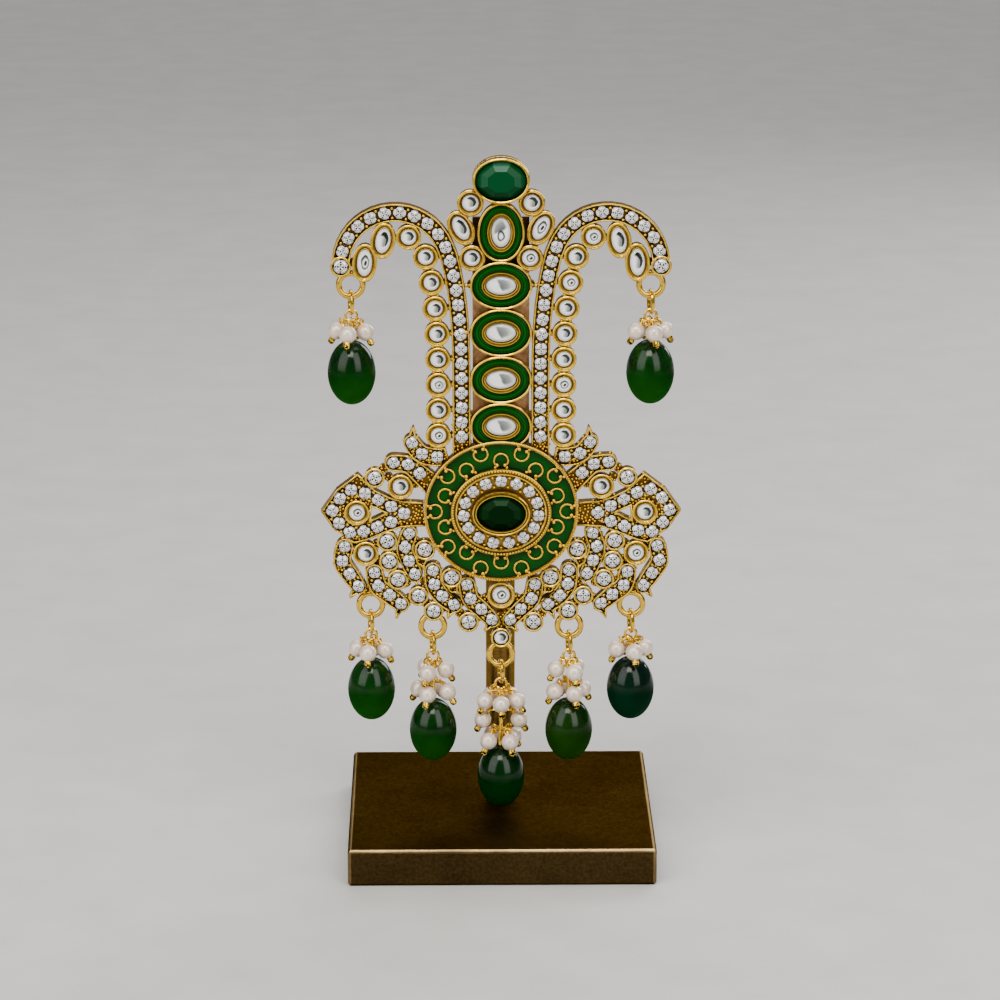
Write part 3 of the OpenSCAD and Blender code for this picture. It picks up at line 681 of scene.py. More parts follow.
def cut_stone(tones, rng, sides=8, table=0.56, crown=0.5, girdle=0.12, jitter=0.08, inset=0.15):
    """A stone of unit radius: a table, star, kite and girdle facets above, and a short straight foot."""
    half = math.pi / sides
    top = girdle + crown
    obj = stone_through((2 * sides, 1.0, 0.0), (2 * sides, 0.94, -0.3), (2 * sides, 1.0, girdle),
                        (sides, (table + 1) / 2 + 0.03, girdle + 0.62 * crown, half), (sides, table, top))
    bpy.ops.mesh.select_all(action="DESELECT")
    leave_edit()
    edit_faces(obj, lambda face: face.center.z > top - 1e-4)
    bpy.ops.mesh.inset(thickness=table * inset)
    bpy.ops.mesh.poke()
    leave_edit()

    # Painted reflections: each facet's tone by its band and its sector round the stone, with a little at
    # random
    def tone_of(face):
        middle = face.center
        sector = round(math.atan2(middle.y, middle.x) / half)
        if middle.z > top - 1e-4:
            band = 0 if len(face.vertices) == 3 else 1
        else:
            band = 2 if middle.z > girdle + 1e-3 else 3
        return tones[band][sector % 4] + rng.uniform(-jitter, jitter)

    tone_facets(obj, tone_of)
    return obj


def step_stone(tones):
    """A stone of unit radius in steps: an eight sided table with eight broad facets round it."""
    obj = stone_through((40, 1.0, 0.0), (40, 0.94, -0.3), (40, 1.0, 0.2), (8, 0.84, 0.62, math.pi / 8),
                        (8, 0.56, 0.92, math.pi / 8))
    leave_edit()

    # Painted light and shade: each facet's tone by its sector round the stone, painted darker towards the
    # foot, 0.8 on the outer crown and 0.3 on the girdle
    def tone_of(face):
        if face.center.z > 0.9:
            return tones[-1]
        sector = round(math.atan2(face.center.y, face.center.x) / (math.pi / 4)) % 8
        return tones[sector] * (1.0 if face.center.z > 0.66 else 0.8 if face.center.z > 0.25 else 0.3)

    tone_facets(obj, tone_of)
    return obj


def foil_stone(tone, turn):
    """Flat glass of unit radius, with a broad bevel round its table. Turn is where the top of its painted
    reflections is.
    """
    clear_selection()
    add_ring(28, 1.0, 0.0)
    obj = active()
    edit()
    bpy.ops.mesh.edge_face_add()
    for scale, rise in ((1.0, 0.35), (0.93, 0.16), (0.8, 0.1), (0.93, 0.03)):
        bpy.ops.mesh.extrude_region_move(TRANSFORM_OT_translate={"value": (0, 0, rise)})
        bpy.ops.transform.resize(value=(scale, scale, 1))
    bpy.ops.mesh.poke()
    leave_edit()
    facing = obj.data.uv_layers.new(name="facing")
    for loop in obj.data.loops:
        co = obj.data.vertices[loop.vertex_index].co
        aside = co.x * math.cos(turn) - co.y * math.sin(turn)
        above = co.x * math.sin(turn) + co.y * math.cos(turn)
        facing.data[loop.index].uv = ((aside + 1) / 2, (above + 1) / 2)
    tone_facets(obj, lambda face: tone)
    return obj


def oval_wire(stone, grow, lift, wire):
    """A round wire bent into an oval round a stone, lying on the front."""
    clear_selection()
    bpy.ops.curve.primitive_bezier_circle_add(radius=1)
    obj = active()
    obj.data.resolution_u = 12
    obj.data.bevel_depth = wire * MM
    obj.data.bevel_resolution = 3
    bpy.ops.object.mode_set(mode="EDIT")
    bpy.ops.curve.select_all(action="SELECT")
    bpy.ops.transform.resize(value=((stone.a + grow) * MM, (stone.b + grow) * MM, 1))
    leave_edit()
    obj.matrix_world = on_face(stone.x, stone.y, lift, stone.turn)
    bpy.ops.object.convert(target="MESH")
    return active()


def oval_band(x, y, inner, outer, profile, turn=0.0, steps=72):
    """A closed oval ring on the front.

    The profile holds the part of the way outwards, the lift and, for gold, the brightness of each edge."""

    def reach(part):
        return [near + (far - near) * part for near, far in zip(inner, outer)]

    clear_selection()
    bpy.ops.mesh.primitive_circle_add(vertices=steps, radius=1)
    obj = active()
    edit()
    width, height, rise = 1, 1, 0
    for step, (part, lift, *shade) in enumerate((*profile, profile[0])):
        if step:
            bpy.ops.mesh.extrude_region_move()
        wide, high = reach(part)
        bpy.ops.transform.resize(value=(wide / width, high / height, 1), center_override=(0, 0, 0))
        bpy.ops.transform.translate(value=(0, 0, lift - rise))
        width, height, rise = wide, high, lift
    bpy.ops.mesh.select_all(action="SELECT")
    bpy.ops.mesh.remove_doubles(threshold=1e-4)
    bpy.ops.mesh.normals_make_consistent()
    leave_edit()

    def nearest_shade(co):
        def miss(edge):
            wide, high = reach(edge[0])
            return abs(math.hypot(co.x / wide, co.y / high) - 1) + abs(co.z - edge[1])
        return min(profile, key=miss)[2]

    if len(profile[0]) > 2:
        keep_tones(obj, "shade", "POINT", [nearest_shade(vert.co) for vert in obj.data.vertices])
    obj.matrix_world = on_face(x, y, 0, turn, (MM, MM, MM))
    return obj


def grain_master(radius):
    """A small grain with a flat foot, where it is soldered down."""
    clear_selection()
    bpy.ops.mesh.primitive_ico_sphere_add(subdivisions=2, radius=radius * MM)
    edit()
    bpy.ops.mesh.bisect(plane_co=(0, 0, -0.55 * radius * MM), plane_no=(0, 0, 1), clear_inner=True,
                        use_fill=True)
    leave_edit()
    return active()


def hoop(place, radius, turn, tilt, wire=0.2, spin=0.0, steps=28):
    """A ring of round wire with a short flat where its ends meet."""
    clear_selection()
    bpy.ops.mesh.primitive_torus_add(location=place, rotation=(tilt, spin, turn), major_radius=radius * MM,
                                     minor_radius=wire * MM, major_segments=steps,
                                     minor_segments=round(0.36 * steps))
    obj = active()
    edit(action="DESELECT")
    leave_edit()
    for vert in obj.data.vertices:
        vert.select = vert.co.x > 0.97 * radius * MM
    bpy.ops.object.mode_set(mode="EDIT")
    bpy.ops.transform.resize(value=(1, 1, 0.9))
    leave_edit()
    return obj


def rod(start, end, wire=0.2):
    """A straight piece of wire with rounded ends."""
    clear_selection()
    run = end - start
    bpy.ops.mesh.primitive_cylinder_add(vertices=10, radius=wire * MM, depth=run.length,
                                        location=(start + end) / 2,
                                        rotation=run.to_track_quat("Z", "Y").to_euler())
    obj = active()
    edit_faces(obj, lambda face: abs(face.normal.z) > 0.9)
    bpy.ops.mesh.inset(thickness=0.4 * wire * MM, depth=0.3 * wire * MM)
    leave_edit()
    return obj


def ball(segments, rings):
    clear_selection()
    bpy.ops.mesh.primitive_uv_sphere_add(segments=segments, ring_count=rings, radius=1)
    return active()


def drill(obj, past, depth):
    """Sinks the faces of a unit ball that lie past a height at either end."""
    edit_faces(obj, lambda face: abs(face.center.z) > past)
    bpy.ops.mesh.inset(thickness=0.05, depth=depth)
    leave_edit()


# Settings


def colour_of(name, description, default):
    return FloatVectorProperty(name=name, description=description, subtype="COLOR", min=0, max=1,
                               default=default)


def radius_of(name, description, default, low, high):
    return FloatProperty(name=name, description=description + " in millimetres", default=default, min=low,
                         max=high)


class ORNAMENT_PG_gold(bpy.types.PropertyGroup):
    gold: colour_of("Gold", "Colour of the gilt work", (0.53, 0.285, 0.028))
    bright: colour_of("Bright gold", "Colour of rims, grains and wires", (0.82, 0.52, 0.05))
    # The recess brown is patina, deepened with painted shade where the gold is hemmed in
    recess: colour_of("Recess", "Brown of the gilt work's recesses", (0.055, 0.021, 0.003))
    # The enamel goes from the lighter to the darker green with its engraved lines and random clouds, and with
    # painted shade near the rims and towards the band's edges
    enamel: colour_of("Enamel", "Green of the enamel where it is thin", (0.0, 0.08, 0.0008))
    enamel_dark: colour_of("Dark enamel", "Green of the enamel where it is thick", (0.0, 0.009, 0.0003))
    edge_radius: radius_of("Edge radius", "Rounding of the gilt work's edges", 0.12, 0.02, 0.3)
    rim_wire: radius_of("Rim wire", "Radius of the rims' wire", 0.21, 0.1, 0.3)
    grain: radius_of("Grain", "Radius of the grains between the stones", 0.3, 0.15, 0.4)


class ORNAMENT_PG_stand(bpy.types.PropertyGroup):
    brown: colour_of("Brown", "Lighter brown of the plate", (0.06, 0.037, 0.012))
    brown_dark: colour_of("Dark brown", "Darker brown of the plate", (0.036, 0.022, 0.007))
    # The worn brass is partly wear and partly a painted highlight along the plate's edges
    wear_and_highlight: colour_of("Worn brass", "Brass along the plate's worn edges", (0.98, 0.68, 0.32))
    post: colour_of("Post", "Lighter brass of the post", (0.22, 0.13, 0.032))
    post_dark: colour_of("Dark post", "Darker brass of the post", (0.09, 0.049, 0.012))


class ORNAMENT_PG_drops(bpy.types.PropertyGroup):
    green: colour_of("Green", "Deep green of the beads", (0.0, 0.009, 0.0008))
    # The light green is in lighter veins, and in painted light that makes the beads lighter low down
    green_veined_and_lit: colour_of("Light green", "Green of the beads where they are thin", (0.005, 0.078, 0.0018))
    tip: radius_of("Tip", "Radius of the ball under each pearl", 0.68, 0.3, 0.8)


class ORNAMENT_PG_stage(bpy.types.PropertyGroup):
    lens: FloatProperty(name="Lens", description="Focal length in millimetres", default=151.35, min=50,
                        max=300)
    distance: FloatProperty(name="Distance", description="From the camera to the medallion", unit="LENGTH",
                            default=0.8393, min=0.3, max=3)
    pitch: FloatProperty(name="Pitch", description="How far the camera looks down", subtype="ANGLE",
                         default=math.radians(15.41), min=0, max=1.5)
    yaw: FloatProperty(name="Yaw", description="How far the camera looks to the right", subtype="ANGLE",
                       default=math.radians(0.75), min=-1.5, max=1.5)
    light: FloatProperty(name="Light", description="Strength of all the lights", default=1.0, min=0, max=10)
    seed: IntProperty(name="Seed", description="Start of the small random differences", default=7, min=0)


# Operators, one for each piece or group of pieces


class ORNAMENT_OT_stage(bpy.types.Operator):
    """Sets up the camera at the photograph's angle, a pale floor and soft studio lights"""

    bl_idname = "ornament.stage"
    bl_label = "Stage"

    # Where the medallion's centre stands in the photograph, in pixels from the middle of its 1000
    medallion_px = (0.9, -7.2)
    frame_px = 1000
    sensor = 36.0
    # Name, place, aim, width, height, power, spread and colour of each light
    lights = (
        ("key", (-0.1, -0.6, 1.0), (0, 0, 0.09), 0.5, 0.4, 3.0, 2.2, (1, 0.96, 0.9)),
        ("left strip", (-0.64, -0.52, 0.56), (0, 0, 0.06), 0.75, 1.05, 4.4, 2.4, (1, 0.98, 0.95)),
        ("right strip", (0.46, -0.7, 0.56), (0, 0, 0.06), 0.52, 1.05, 3.6, 2.4, (1, 0.98, 0.95)),
        ("top", (0.15, 0.1, 0.8), (0, 0, 0.08), 0.5, 0.5, 1.1, 2.4, (1, 1, 1)),
        ("back", (0.45, 0.6, 0.4), (0, 0, 0.08), 0.3, 0.5, 1.5, 2.4, (0.95, 0.97, 1)),
        ("far", (0, 3.2, 2.6), (0, 2.4, 0), 3.0, 2.0, 50.0, 3.1, (1, 1, 1)),
    )

    def execute(self, context):
        style = context.scene.ornament_stage
        self.add_camera(context, style)
        self.add_floor()
        for light in self.lights:
            self.add_light(style, *light)
        world = bpy.data.worlds.new("soft room")
        world.use_nodes = True
        backdrop = world.node_tree.nodes["Background"]
        backdrop.inputs[0].default_value = (0.96, 0.96, 1.0, 1)
        backdrop.inputs[1].default_value = 0.13 * style.light
        context.scene.world = world
        return {"FINISHED"}

    def add_camera(self, context, style):
        clear_selection()
        bpy.ops.object.camera_add(rotation=(QUARTER - style.pitch, 0, -style.yaw))
        camera = active()
        camera.name = "camera"
        camera.data.lens = style.lens
        camera.data.sensor_width = self.sensor
        camera.data.clip_start = 0.01
        focal_px = style.lens / self.sensor * self.frame_px
        sight = Vector((self.medallion_px[0] / focal_px, self.medallion_px[1] / focal_px, -1)).normalized()
        camera.location = MEDALLION - camera.rotation_euler.to_matrix() @ sight * style.distance
        context.scene.camera = camera

    def add_floor(self):
        clear_selection()
        bpy.ops.mesh.primitive_grid_add(x_subdivisions=24, y_subdivisions=24, size=6)
        floor = active()
        floor.name = "floor"
        nodes = new_material("pale floor")
        cloud = nodes.noise(nodes.place(), 60.0, 5.0)
        colour = nodes.ramp(cloud, (0.3, (0.6, 0.585, 0.56)), (0.7, (0.66, 0.645, 0.62)))
        floor.data.materials.append(nodes.surface(Base_Color=colour, Roughness=0.6))

    def add_light(self, style, name, place, aim, width, height, power, spread, colour):
        clear_selection()
        direction = Vector(aim) - Vector(place)
        bpy.ops.object.light_add(type="AREA", location=place,
                                 rotation=direction.to_track_quat("-Z", "Y").to_euler())
        light = active()
        light.name = name
        light.data.shape = "RECTANGLE"
        light.data.size = width
        light.data.size_y = height
        light.data.energy = power * style.light
        light.data.spread = spread
        light.data.color = colour


class ORNAMENT_OT_stand(bpy.types.Operator):
    """Gives the plate, the post and the pin their brass"""

    bl_idname = "ornament.stand"
    bl_label = "Stand"

    def execute(self, context):
        post = post_material()
        for node, material in (("stand_plate", plate_material()), ("stand_post", post), ("turban_pin", post)):
            paint(node, material)
        return {"FINISHED"}


class ORNAMENT_OT_gilt_work(bpy.types.Operator):
    """Gives the gilt frames and the strap behind them their gold"""

    bl_idname = "ornament.gilt_work"
    bl_label = "Gilt work"

    def execute(self, context):
        flat = gilt_material("antique gold", 0.4, 2.7)
        for node in FRAMES[:-1]:
            paint(node, flat)
        paint(FRAMES[-1], gilt_material("antique gold of the medallion", 1.2, 4.8))
        paint("back_strap", strap_material())
        return {"FINISHED"}


class ORNAMENT_OT_beading(bpy.types.Operator):
    """Rounds the tops of all the thin rims along the bands and leaves"""

    bl_idname = "ornament.beading"
    bl_label = "Beading"

    # The lowest rim, how deep the beading stands in it and how close to a column stone it stops
    lowest = 2.0
    sunk = 0.25
    bezel = 0.7
    # Thickness and depth of each inset in millimetres
    steps = ((0.07, 0.1), (0.06, 0.05))

    def execute(self, context):
        stones = stones_of(*COLUMN)
        to_face = FACE.inverted()

        def is_top(face):
            spot = to_face @ face.center / MM
            if any(edge_gap(stone, spot.x, spot.y) < self.bezel for stone in stones):
                return False
            return face.normal.y < -0.99 and face.center.y < MEDALLION.y - self.lowest * MM

        for node in FRAMES[:-1]:
            clear_selection()
            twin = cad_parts[node].copy()
            twin.data = twin.data.copy()
            twin.parent = None
            twin.matrix_world = Matrix()
            bpy.context.scene.collection.objects.link(twin)
            select(twin)
            edit("FACE")
            bpy.ops.mesh.remove_doubles(threshold=1e-6)
            bpy.ops.mesh.select_all(action="DESELECT")
            leave_edit()
            edit_faces(twin, lambda face: not is_top(face))
            bpy.ops.mesh.delete(type="FACE")
            leave_edit()
            wall = twin.modifiers.new("wall", "SOLIDIFY")
            wall.thickness = self.sunk * MM
            wall.offset = -1
            bpy.ops.object.modifier_apply(modifier=wall.name)
            edit_faces(twin, is_top)
            for thickness, depth in self.steps:
                bpy.ops.mesh.inset(thickness=thickness * MM, depth=depth * MM, use_boundary=True)
            leave_edit()
            finish(twin, node + "_beading", bright_gold(), angle=60)
        return {"FINISHED"}


class ORNAMENT_OT_rims(bpy.types.Operator):
    """Lays round wires and lips on the rims of the cups and ovals, and makes the loops for the drops"""

    bl_idname = "ornament.rims"
    bl_label = "Rims"

    # Heights above the back, and how far outside its stone each wire lies
    cup_lift = 2.25
    cup_outer = 0.6
    single_outer = 0.27
    oval_lift = 2.6
    # Half widths: a narrower stone of the wings has no cup, and a wider white stone has a rim of its own
    single_a = 1.6
    rimmed_a = 1.4
    oval_outer = 0.26
    # Half heights of the column's ovals, from the top one down
    oval_heights = (5.39, 4.33, 4.33, 4.33, 4.33)
    # Distance from the crown stone, lift and thickness of each of the crown's wires
    crown_wires = ((0.34, 3.35, 1.3), (0.4, 1.4, 1.2))
    # From a cup's stone out to its rim, and from a column stone out to the enamel: part, lift and brightness
    collet = ((0, 1.25, 0.2), (0, 1.9, 0.5), (0.1, 2.0, 0.9), (0.26, 1.96, 0.9), (0.4, 1.84, 0.3),
              (0.75, 1.98, 0.5), (1, 2.1, 0.8), (1, 1.25, 0.2))
    bezel = ((0, 1.4, 0.1), (0, 2.7, 0.3), (0.1, 2.82, 1.1), (0.24, 2.8, 1.0), (0.34, 2.66, 0.25),
             (0.68, 2.66, 0.3), (0.78, 2.86, 1.1), (0.94, 2.86, 1.1), (1, 2.7, 0.7), (1, 2.1, 0.3))
    # Where they start and end: a part of a cup's stone, and millimetres outside a stone
    collet_part = 0.93
    collet_outer = 0.4
    bezel_inner = 0.02
    bezel_outer = 0.72
    # The loops that the drops hang from, in millimetres
    loops = ((-29.5, 45.7), (29.5, 45.7), (-26.1, -19.9), (26.1, -19.9), (-13.7, -24.4), (13.7, -24.4),
             (0, -30.4))
    loop_r = 2.35
    loop_wire = 0.61
    loop_lift = 0.9

    def execute(self, context):
        wire = context.scene.ornament_gold.rim_wire
        for node in CUPS:
            name = node.replace("side", "column").replace("stones", "rims")
            wires = []
            bands = []
            for stone in stones_of(node):
                single = node == "wing_stones" and stone.a < self.single_a
                grow = self.single_outer if single else self.cup_outer
                wires.append(oval_wire(stone, grow, self.cup_lift, wire))
                if not single:
                    inner = (self.collet_part * stone.a, self.collet_part * stone.b)
                    outer = (stone.a + self.collet_outer, stone.b + self.collet_outer)
                    bands.append(oval_band(stone.x, stone.y, inner, outer, self.collet, stone.turn, 40))
            if node == "side_stones":
                wires += self.column_wires(wire)
                for x, y, lift, a, b, turn in stones_of(*COLUMN):
                    inner, outer = ((a + gap, b + gap) for gap in (self.bezel_inner, self.bezel_outer))
                    bands.append(oval_band(x, y, inner, outer, self.bezel, turn))
            finish(join(wires), name, bright_gold())
            finish(join(bands), name.replace("rims", "collets"), lipped_gold())
        singles = [oval_wire(stone._replace(b=stone.a, turn=0), self.single_outer + 0.05, self.cup_lift, wire)
                   for stone in stones_of(*PAVE) if stone.a > self.rimmed_a]
        finish(join(singles), "single_rims", bright_gold())
        loops = [hoop(on_face(x, y, self.loop_lift).translation, self.loop_r, 0, QUARTER, self.loop_wire,
                      -QUARTER, 48) for x, y in self.loops]
        finish(join(loops), "drop_loops", fine_gold())
        return {"FINISHED"}

    def column_wires(self, wire):
        wires = []
        for stone, half_height in zip(stones_of(*COLUMN), self.oval_heights):
            low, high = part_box(f"column_enamel_{len(wires) + 1}")
            oval = stone._replace(a=(high.x - low.x) / 2 / MM, b=half_height, turn=0)
            wires.append(oval_wire(oval, self.oval_outer, self.oval_lift, 1.1 * wire))
        crown = stones_of("crown_stone")[0]
        for grow, lift, thick in self.crown_wires:
            wires.append(oval_wire(crown, grow, lift, thick * wire))
        return wires


class ORNAMENT_OT_medallion(bpy.types.Operator):
    """Adds the medallion's rims, beaded rings, bezel and scrolls"""

    bl_idname = "ornament.medallion"
    bl_label = "Medallion wires"

    half = (15.4, 14.4)
    ring = (9.9, 8.8)
    bezel = (4.85, 3.6)
    outer_scroll = (13.15, 12.35)
    inner_scroll = (11.65, 10.45)
    scroll_r = 1.4
    scroll_wire = 0.22
    scroll_lift = 3.12
    scroll_open = math.radians(42)
    # Out along the opening, to its sides, lift and radius of the balls at a scroll's ends
    scroll_balls = ((0.88, 0.78, 0.2, 0.42), (1.42, 1.16, 0.1, 0.34))
    scroll_count = 20
    # Name, edge, number, inset from the edge, lift and radius of each line of beads
    beads = (("beaded_ring", ring, 100, 0.26, 4.36, 0.26), ("beaded_rim", half, 190, 0.2, 3.56, 0.2))
    # How far each band reaches inwards and outwards, and its profile: part of the way out, lift, brightness
    rim_band = (-0.62, 0.0, ((0, 2.6, 0.3), (0, 3.35, 0.8), (0.2, 3.5, 1.0), (0.4, 3.46, 0.6),
                             (0.75, 3.5, 0.8), (1, 3.4, 0.7), (1, 2.6, 0.4)))
    ring_band = (-1.15, 0.06, ((0, 3.45, 0.1), (0, 4.2, 0.7), (0.1, 4.36, 1.0), (0.26, 4.38, 1.0),
                               (0.36, 4.22, 0.3), (0.46, 4.2, 0.1), (0.6, 4.24, 0.2), (0.85, 4.3, 0.6),
                               (1, 4.2, 0.8), (1, 3.0, 0.35)))
    bezel_band = (0.03, 0.92, ((0, 3.5, 0.1), (0, 5.2, 0.4), (0.1, 5.36, 1.0), (0.24, 5.36, 1.0),
                               (0.34, 5.22, 0.15), (0.6, 5.22, 0.15), (0.72, 5.3, 1.0), (0.88, 5.26, 1.0),
                               (1, 5.0, 0.5), (1, 3.45, 0.12)))

    def execute(self, context):
        bands = []
        for edge, (inwards, outwards, profile) in ((self.half, self.rim_band), (self.ring, self.ring_band),
                                                   (self.bezel, self.bezel_band)):
            inner, outer = ((edge[0] + reach, edge[1] + reach) for reach in (inwards, outwards))
            bands.append(oval_band(0, 0, inner, outer, profile, 0, 96))
        finish(join(bands), "medallion_rims", lipped_gold())
        for name, edge, count, inset, lift, radius in self.beads:
            places = [on_face((edge[0] - inset) * math.cos(turn), (edge[1] - inset) * math.sin(turn), lift)
                      for turn in self.turns(count)]
            finish(copies(grain_master(radius), places), name, bright_gold())
        scrolls = []
        for i, turn in enumerate(self.turns(self.scroll_count)):
            outward = i % 2 == 0
            place = self.outer_scroll if outward else self.inner_scroll
            x, y = place[0] * math.cos(turn), place[1] * math.sin(turn)
            scrolls.append(on_face(x, y, self.scroll_lift, math.atan2(y, x) + (0 if outward else math.pi)))
        finish(copies(self.scroll(), scrolls), "scrolls", bright_gold())
        return {"FINISHED"}

    def turns(self, count):
        return [2 * math.pi * i / count for i in range(count)]

    def scroll(self):
        """A wire bent round to a gap, with a ball at each end, opening along x."""
        clear_selection()
        bpy.ops.mesh.primitive_circle_add(vertices=12, radius=self.scroll_wire * MM, rotation=(QUARTER, 0, 0),
                                          location=(self.scroll_r * MM, 0, 0))
        settle()
        parts = [active()]
        edit()
        bpy.ops.transform.rotate(value=self.scroll_open, orient_axis="Z", center_override=(0, 0, 0))
        bpy.ops.mesh.spin(steps=26, angle=2 * (math.pi - self.scroll_open), center=(0, 0, 0), axis=(0, 0, 1))
        bpy.ops.mesh.select_all(action="SELECT")
        bpy.ops.mesh.normals_make_consistent()
        leave_edit()
        for out, aside, lift, radius in self.scroll_balls:
            for side in (-1, 1):
                parts.append(grain_master(radius))
                parts[-1].location = (out * MM, side * aside * MM, lift * MM)
                settle()
        return join(parts)


class ORNAMENT_OT_grains(bpy.types.Operator):
    """Sets small gold grains between the stones and between the cups"""

    bl_idname = "ornament.grains"
    bl_label = "Grains"

    # Stones this far apart are neighbours, with a grain on each side of the line that joins them
    reach = 3.5
    off_line = 0.98
    lift = 1.95
    medallion_lift = 4.05
    # The balls between the cups: radius, and how far to the sides and how high each pair is
    ball_radius = 0.5
    pair = (0.75, 1.6)
    # How far outside a cup the ball towards the band lies, and how high
    outside = (1.15, 1.7)
    # Where the pins between the column and the plumes start, the lift, size, step and number of their
    # parts, and where on them a ball lies and how high
    pins = ((6.15, 45.75), (6.15, 36.25))
    pin_lift = 1.75
    pin_size = (0.75, 0.6, 0.6)
    pin_step = 0.36
    pin_parts = 6
    pin_ball = (0.7, 1.8)
    # The granulated ground: the web's thickness, and the grains' upper end, radius, lift, spacing and number
    web = 1.2
    highest = 20
    ground_radius = 0.29
    ground_lift = 1.38
    spacing = 0.56
    tries_per_mm2 = 16

    def execute(self, context):
        radius = context.scene.ornament_gold.grain
        for field in ("plume_pave_left", "wing_pave_left", "plume_pave_right", "wing_pave_right"):
            name = field.replace("pave", "pave_grains")
            self.set_grains(name, radius, self.between(stones_of(field)), self.lift)
        self.set_grains("medallion_grains", 0.85 * radius, self.between(stones_of("medallion_pave")),
                        self.medallion_lift)
        balls = copies(grain_master(self.ball_radius), self.bridges())
        finish(balls, "bridge_balls", bright_gold())
        spots = self.scatter(random.Random(context.scene.ornament_stage.seed + 4))
        self.set_grains("granulation", self.ground_radius, spots, self.ground_lift,
                        bright_gold("granulated gold", 0.3))
        return {"FINISHED"}

    def set_grains(self, name, radius, spots, lift, material=None):
        places = [on_face(x, y, lift) for x, y in spots]
        finish(copies(grain_master(radius), places), name, material or bright_gold())

    def scatter(self, rng):
        """Spots spread over the webs of the wings and the plumes' feet wherever no stone is near."""
        web = bmesh.new()
        for node in ("wing_frame", "plume_left", "plume_right"):
            web.from_mesh(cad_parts[node].data)
        stones = stones_of(*PAVE, *CUPS[1:])
        to_face = FACE.inverted()
        spots = []
        cells = {}

        def is_free(spot, cell):
            near = [other for i in (-1, 0, 1) for j in (-1, 0, 1) for other in cells.get(
                (cell[0] + i, cell[1] + j), ())]
            return spot.y <= self.highest and not any(
                math.hypot(spot.x - x, spot.y - y) < self.spacing for x, y in near) and not any(
                math.hypot(spot.x - stone.x, spot.y - stone.y) < stone.a + 0.2 for stone in stones)

        for face in web.faces:
            height = (MEDALLION.y - face.calc_center_median().y) / MM
            if face.normal.y > -0.99 or abs(height - self.web) > 0.06:
                continue
            a, b, c = (to_face @ vert.co / MM for vert in face.verts)
            tries = (b - a).cross(c - a).length / 2 * self.tries_per_mm2
            for i in range(int(tries + rng.random())):
                u, v = rng.random(), rng.random()
                u, v = (1 - u, 1 - v) if u + v > 1 else (u, v)
                spot = a + (b - a) * u + (c - a) * v
                cell = (int(spot.x // self.spacing), int(spot.y // self.spacing))
                if is_free(spot, cell):
                    cells.setdefault(cell, []).append((spot.x, spot.y))
                    spots.append((spot.x, spot.y))
        web.free()
        return spots

    def between(self, stones):
        """A pair of spots beside each line that joins two neighbouring stones, clear of other stones."""
        spots = []
        for i, first in enumerate(stones):
            for second in stones[i + 1:]:
                a, b = Vector(first[:2]), Vector(second[:2])
                line = b - a
                if line.length > self.reach:
                    continue
                across = Vector((-line.y, line.x)).normalized() * self.off_line
                for side in (-1, 1):
                    spot = (a + b) / 2 + side * across
                    if all((spot - Vector(stone[:2])).length > stone.a + 0.05 for stone in stones) and all(
                            (spot - Vector(other)).length > 0.5 for other in spots):
                        spots.append((spot.x, spot.y))
        return spots

    def bridges(self):
        """Balls between a plume's cups, and between the cups and the band."""
        places = []
        for side, sign in (("left", -1), ("right", 1)):
            cups = [stone for stone in stones_of("plume_stones_" + side) if abs(stone.a - stone.b) < 0.05]
            cups.sort(key=lambda stone: stone.y)
            for lower, upper in zip(cups, cups[1:]):
                x, y = (lower.x + upper.x) / 2, (lower.y + upper.y) / 2
                if abs(upper.x - lower.x) < 2:
                    aside, lift = self.pair
                    places += [on_face(x - aside, y, lift), on_face(x + aside, y, lift)]
            gap, lift = self.outside
            places += [on_face(cup.x - sign * (cup.a + gap), cup.y, lift) for cup in cups[:-1]]
            for x, y in self.pins:
                for step in range(self.pin_parts):
                    spot = sign * (x + self.pin_step * step)
                    places.append(on_face(spot, y, self.pin_lift, 0, self.pin_size))
                along_pin, lift = self.pin_ball
                places.append(on_face(sign * (x + along_pin), y, lift))
        return places


class ORNAMENT_OT_white_stones(bpy.types.Operator):
    """Cuts the small white stones and sets one in each seat"""

    bl_idname = "ornament.white_stones"
    bl_label = "White stones"

    # Painted reflections: tones of the table's wedges, its edge, the crown and the girdle
    tones = ((0.5, 0.0, 0.5, 1.0), (0.6, 0.95, 0.6, 0.3), (1.0, 0.1, 0.75, 0.9), (0.15, 0.5, 0.85, 0.5))
    # Colours of the painted reflections, from dark to white
    stops = ((0.0, (0.01, 0.011, 0.014)), (0.38, (0.09, 0.094, 0.105)), (0.62, (0.6, 0.62, 0.66)),
             (0.82, (1.0, 1.0, 1.0)))
    rise = 1.05

    def execute(self, context):
        rng = random.Random(context.scene.ornament_stage.seed)
        material = facet_material("white cut stone", self.stops, 0.25, 0.3)
        for field in (*PAVE, "medallion_pave"):
            places = []
            for stone in stones_of(field):
                size = (stone.a * MM, stone.a * MM, self.rise * MM)
                places.append(on_face(stone.x, stone.y, stone.lift + 0.4, rng.uniform(0, 2 * math.pi), size))
            stones = copies(cut_stone(self.tones, rng), places)
            finish(stones, field + "_stones", material, angle=0, node=field)
        return {"FINISHED"}


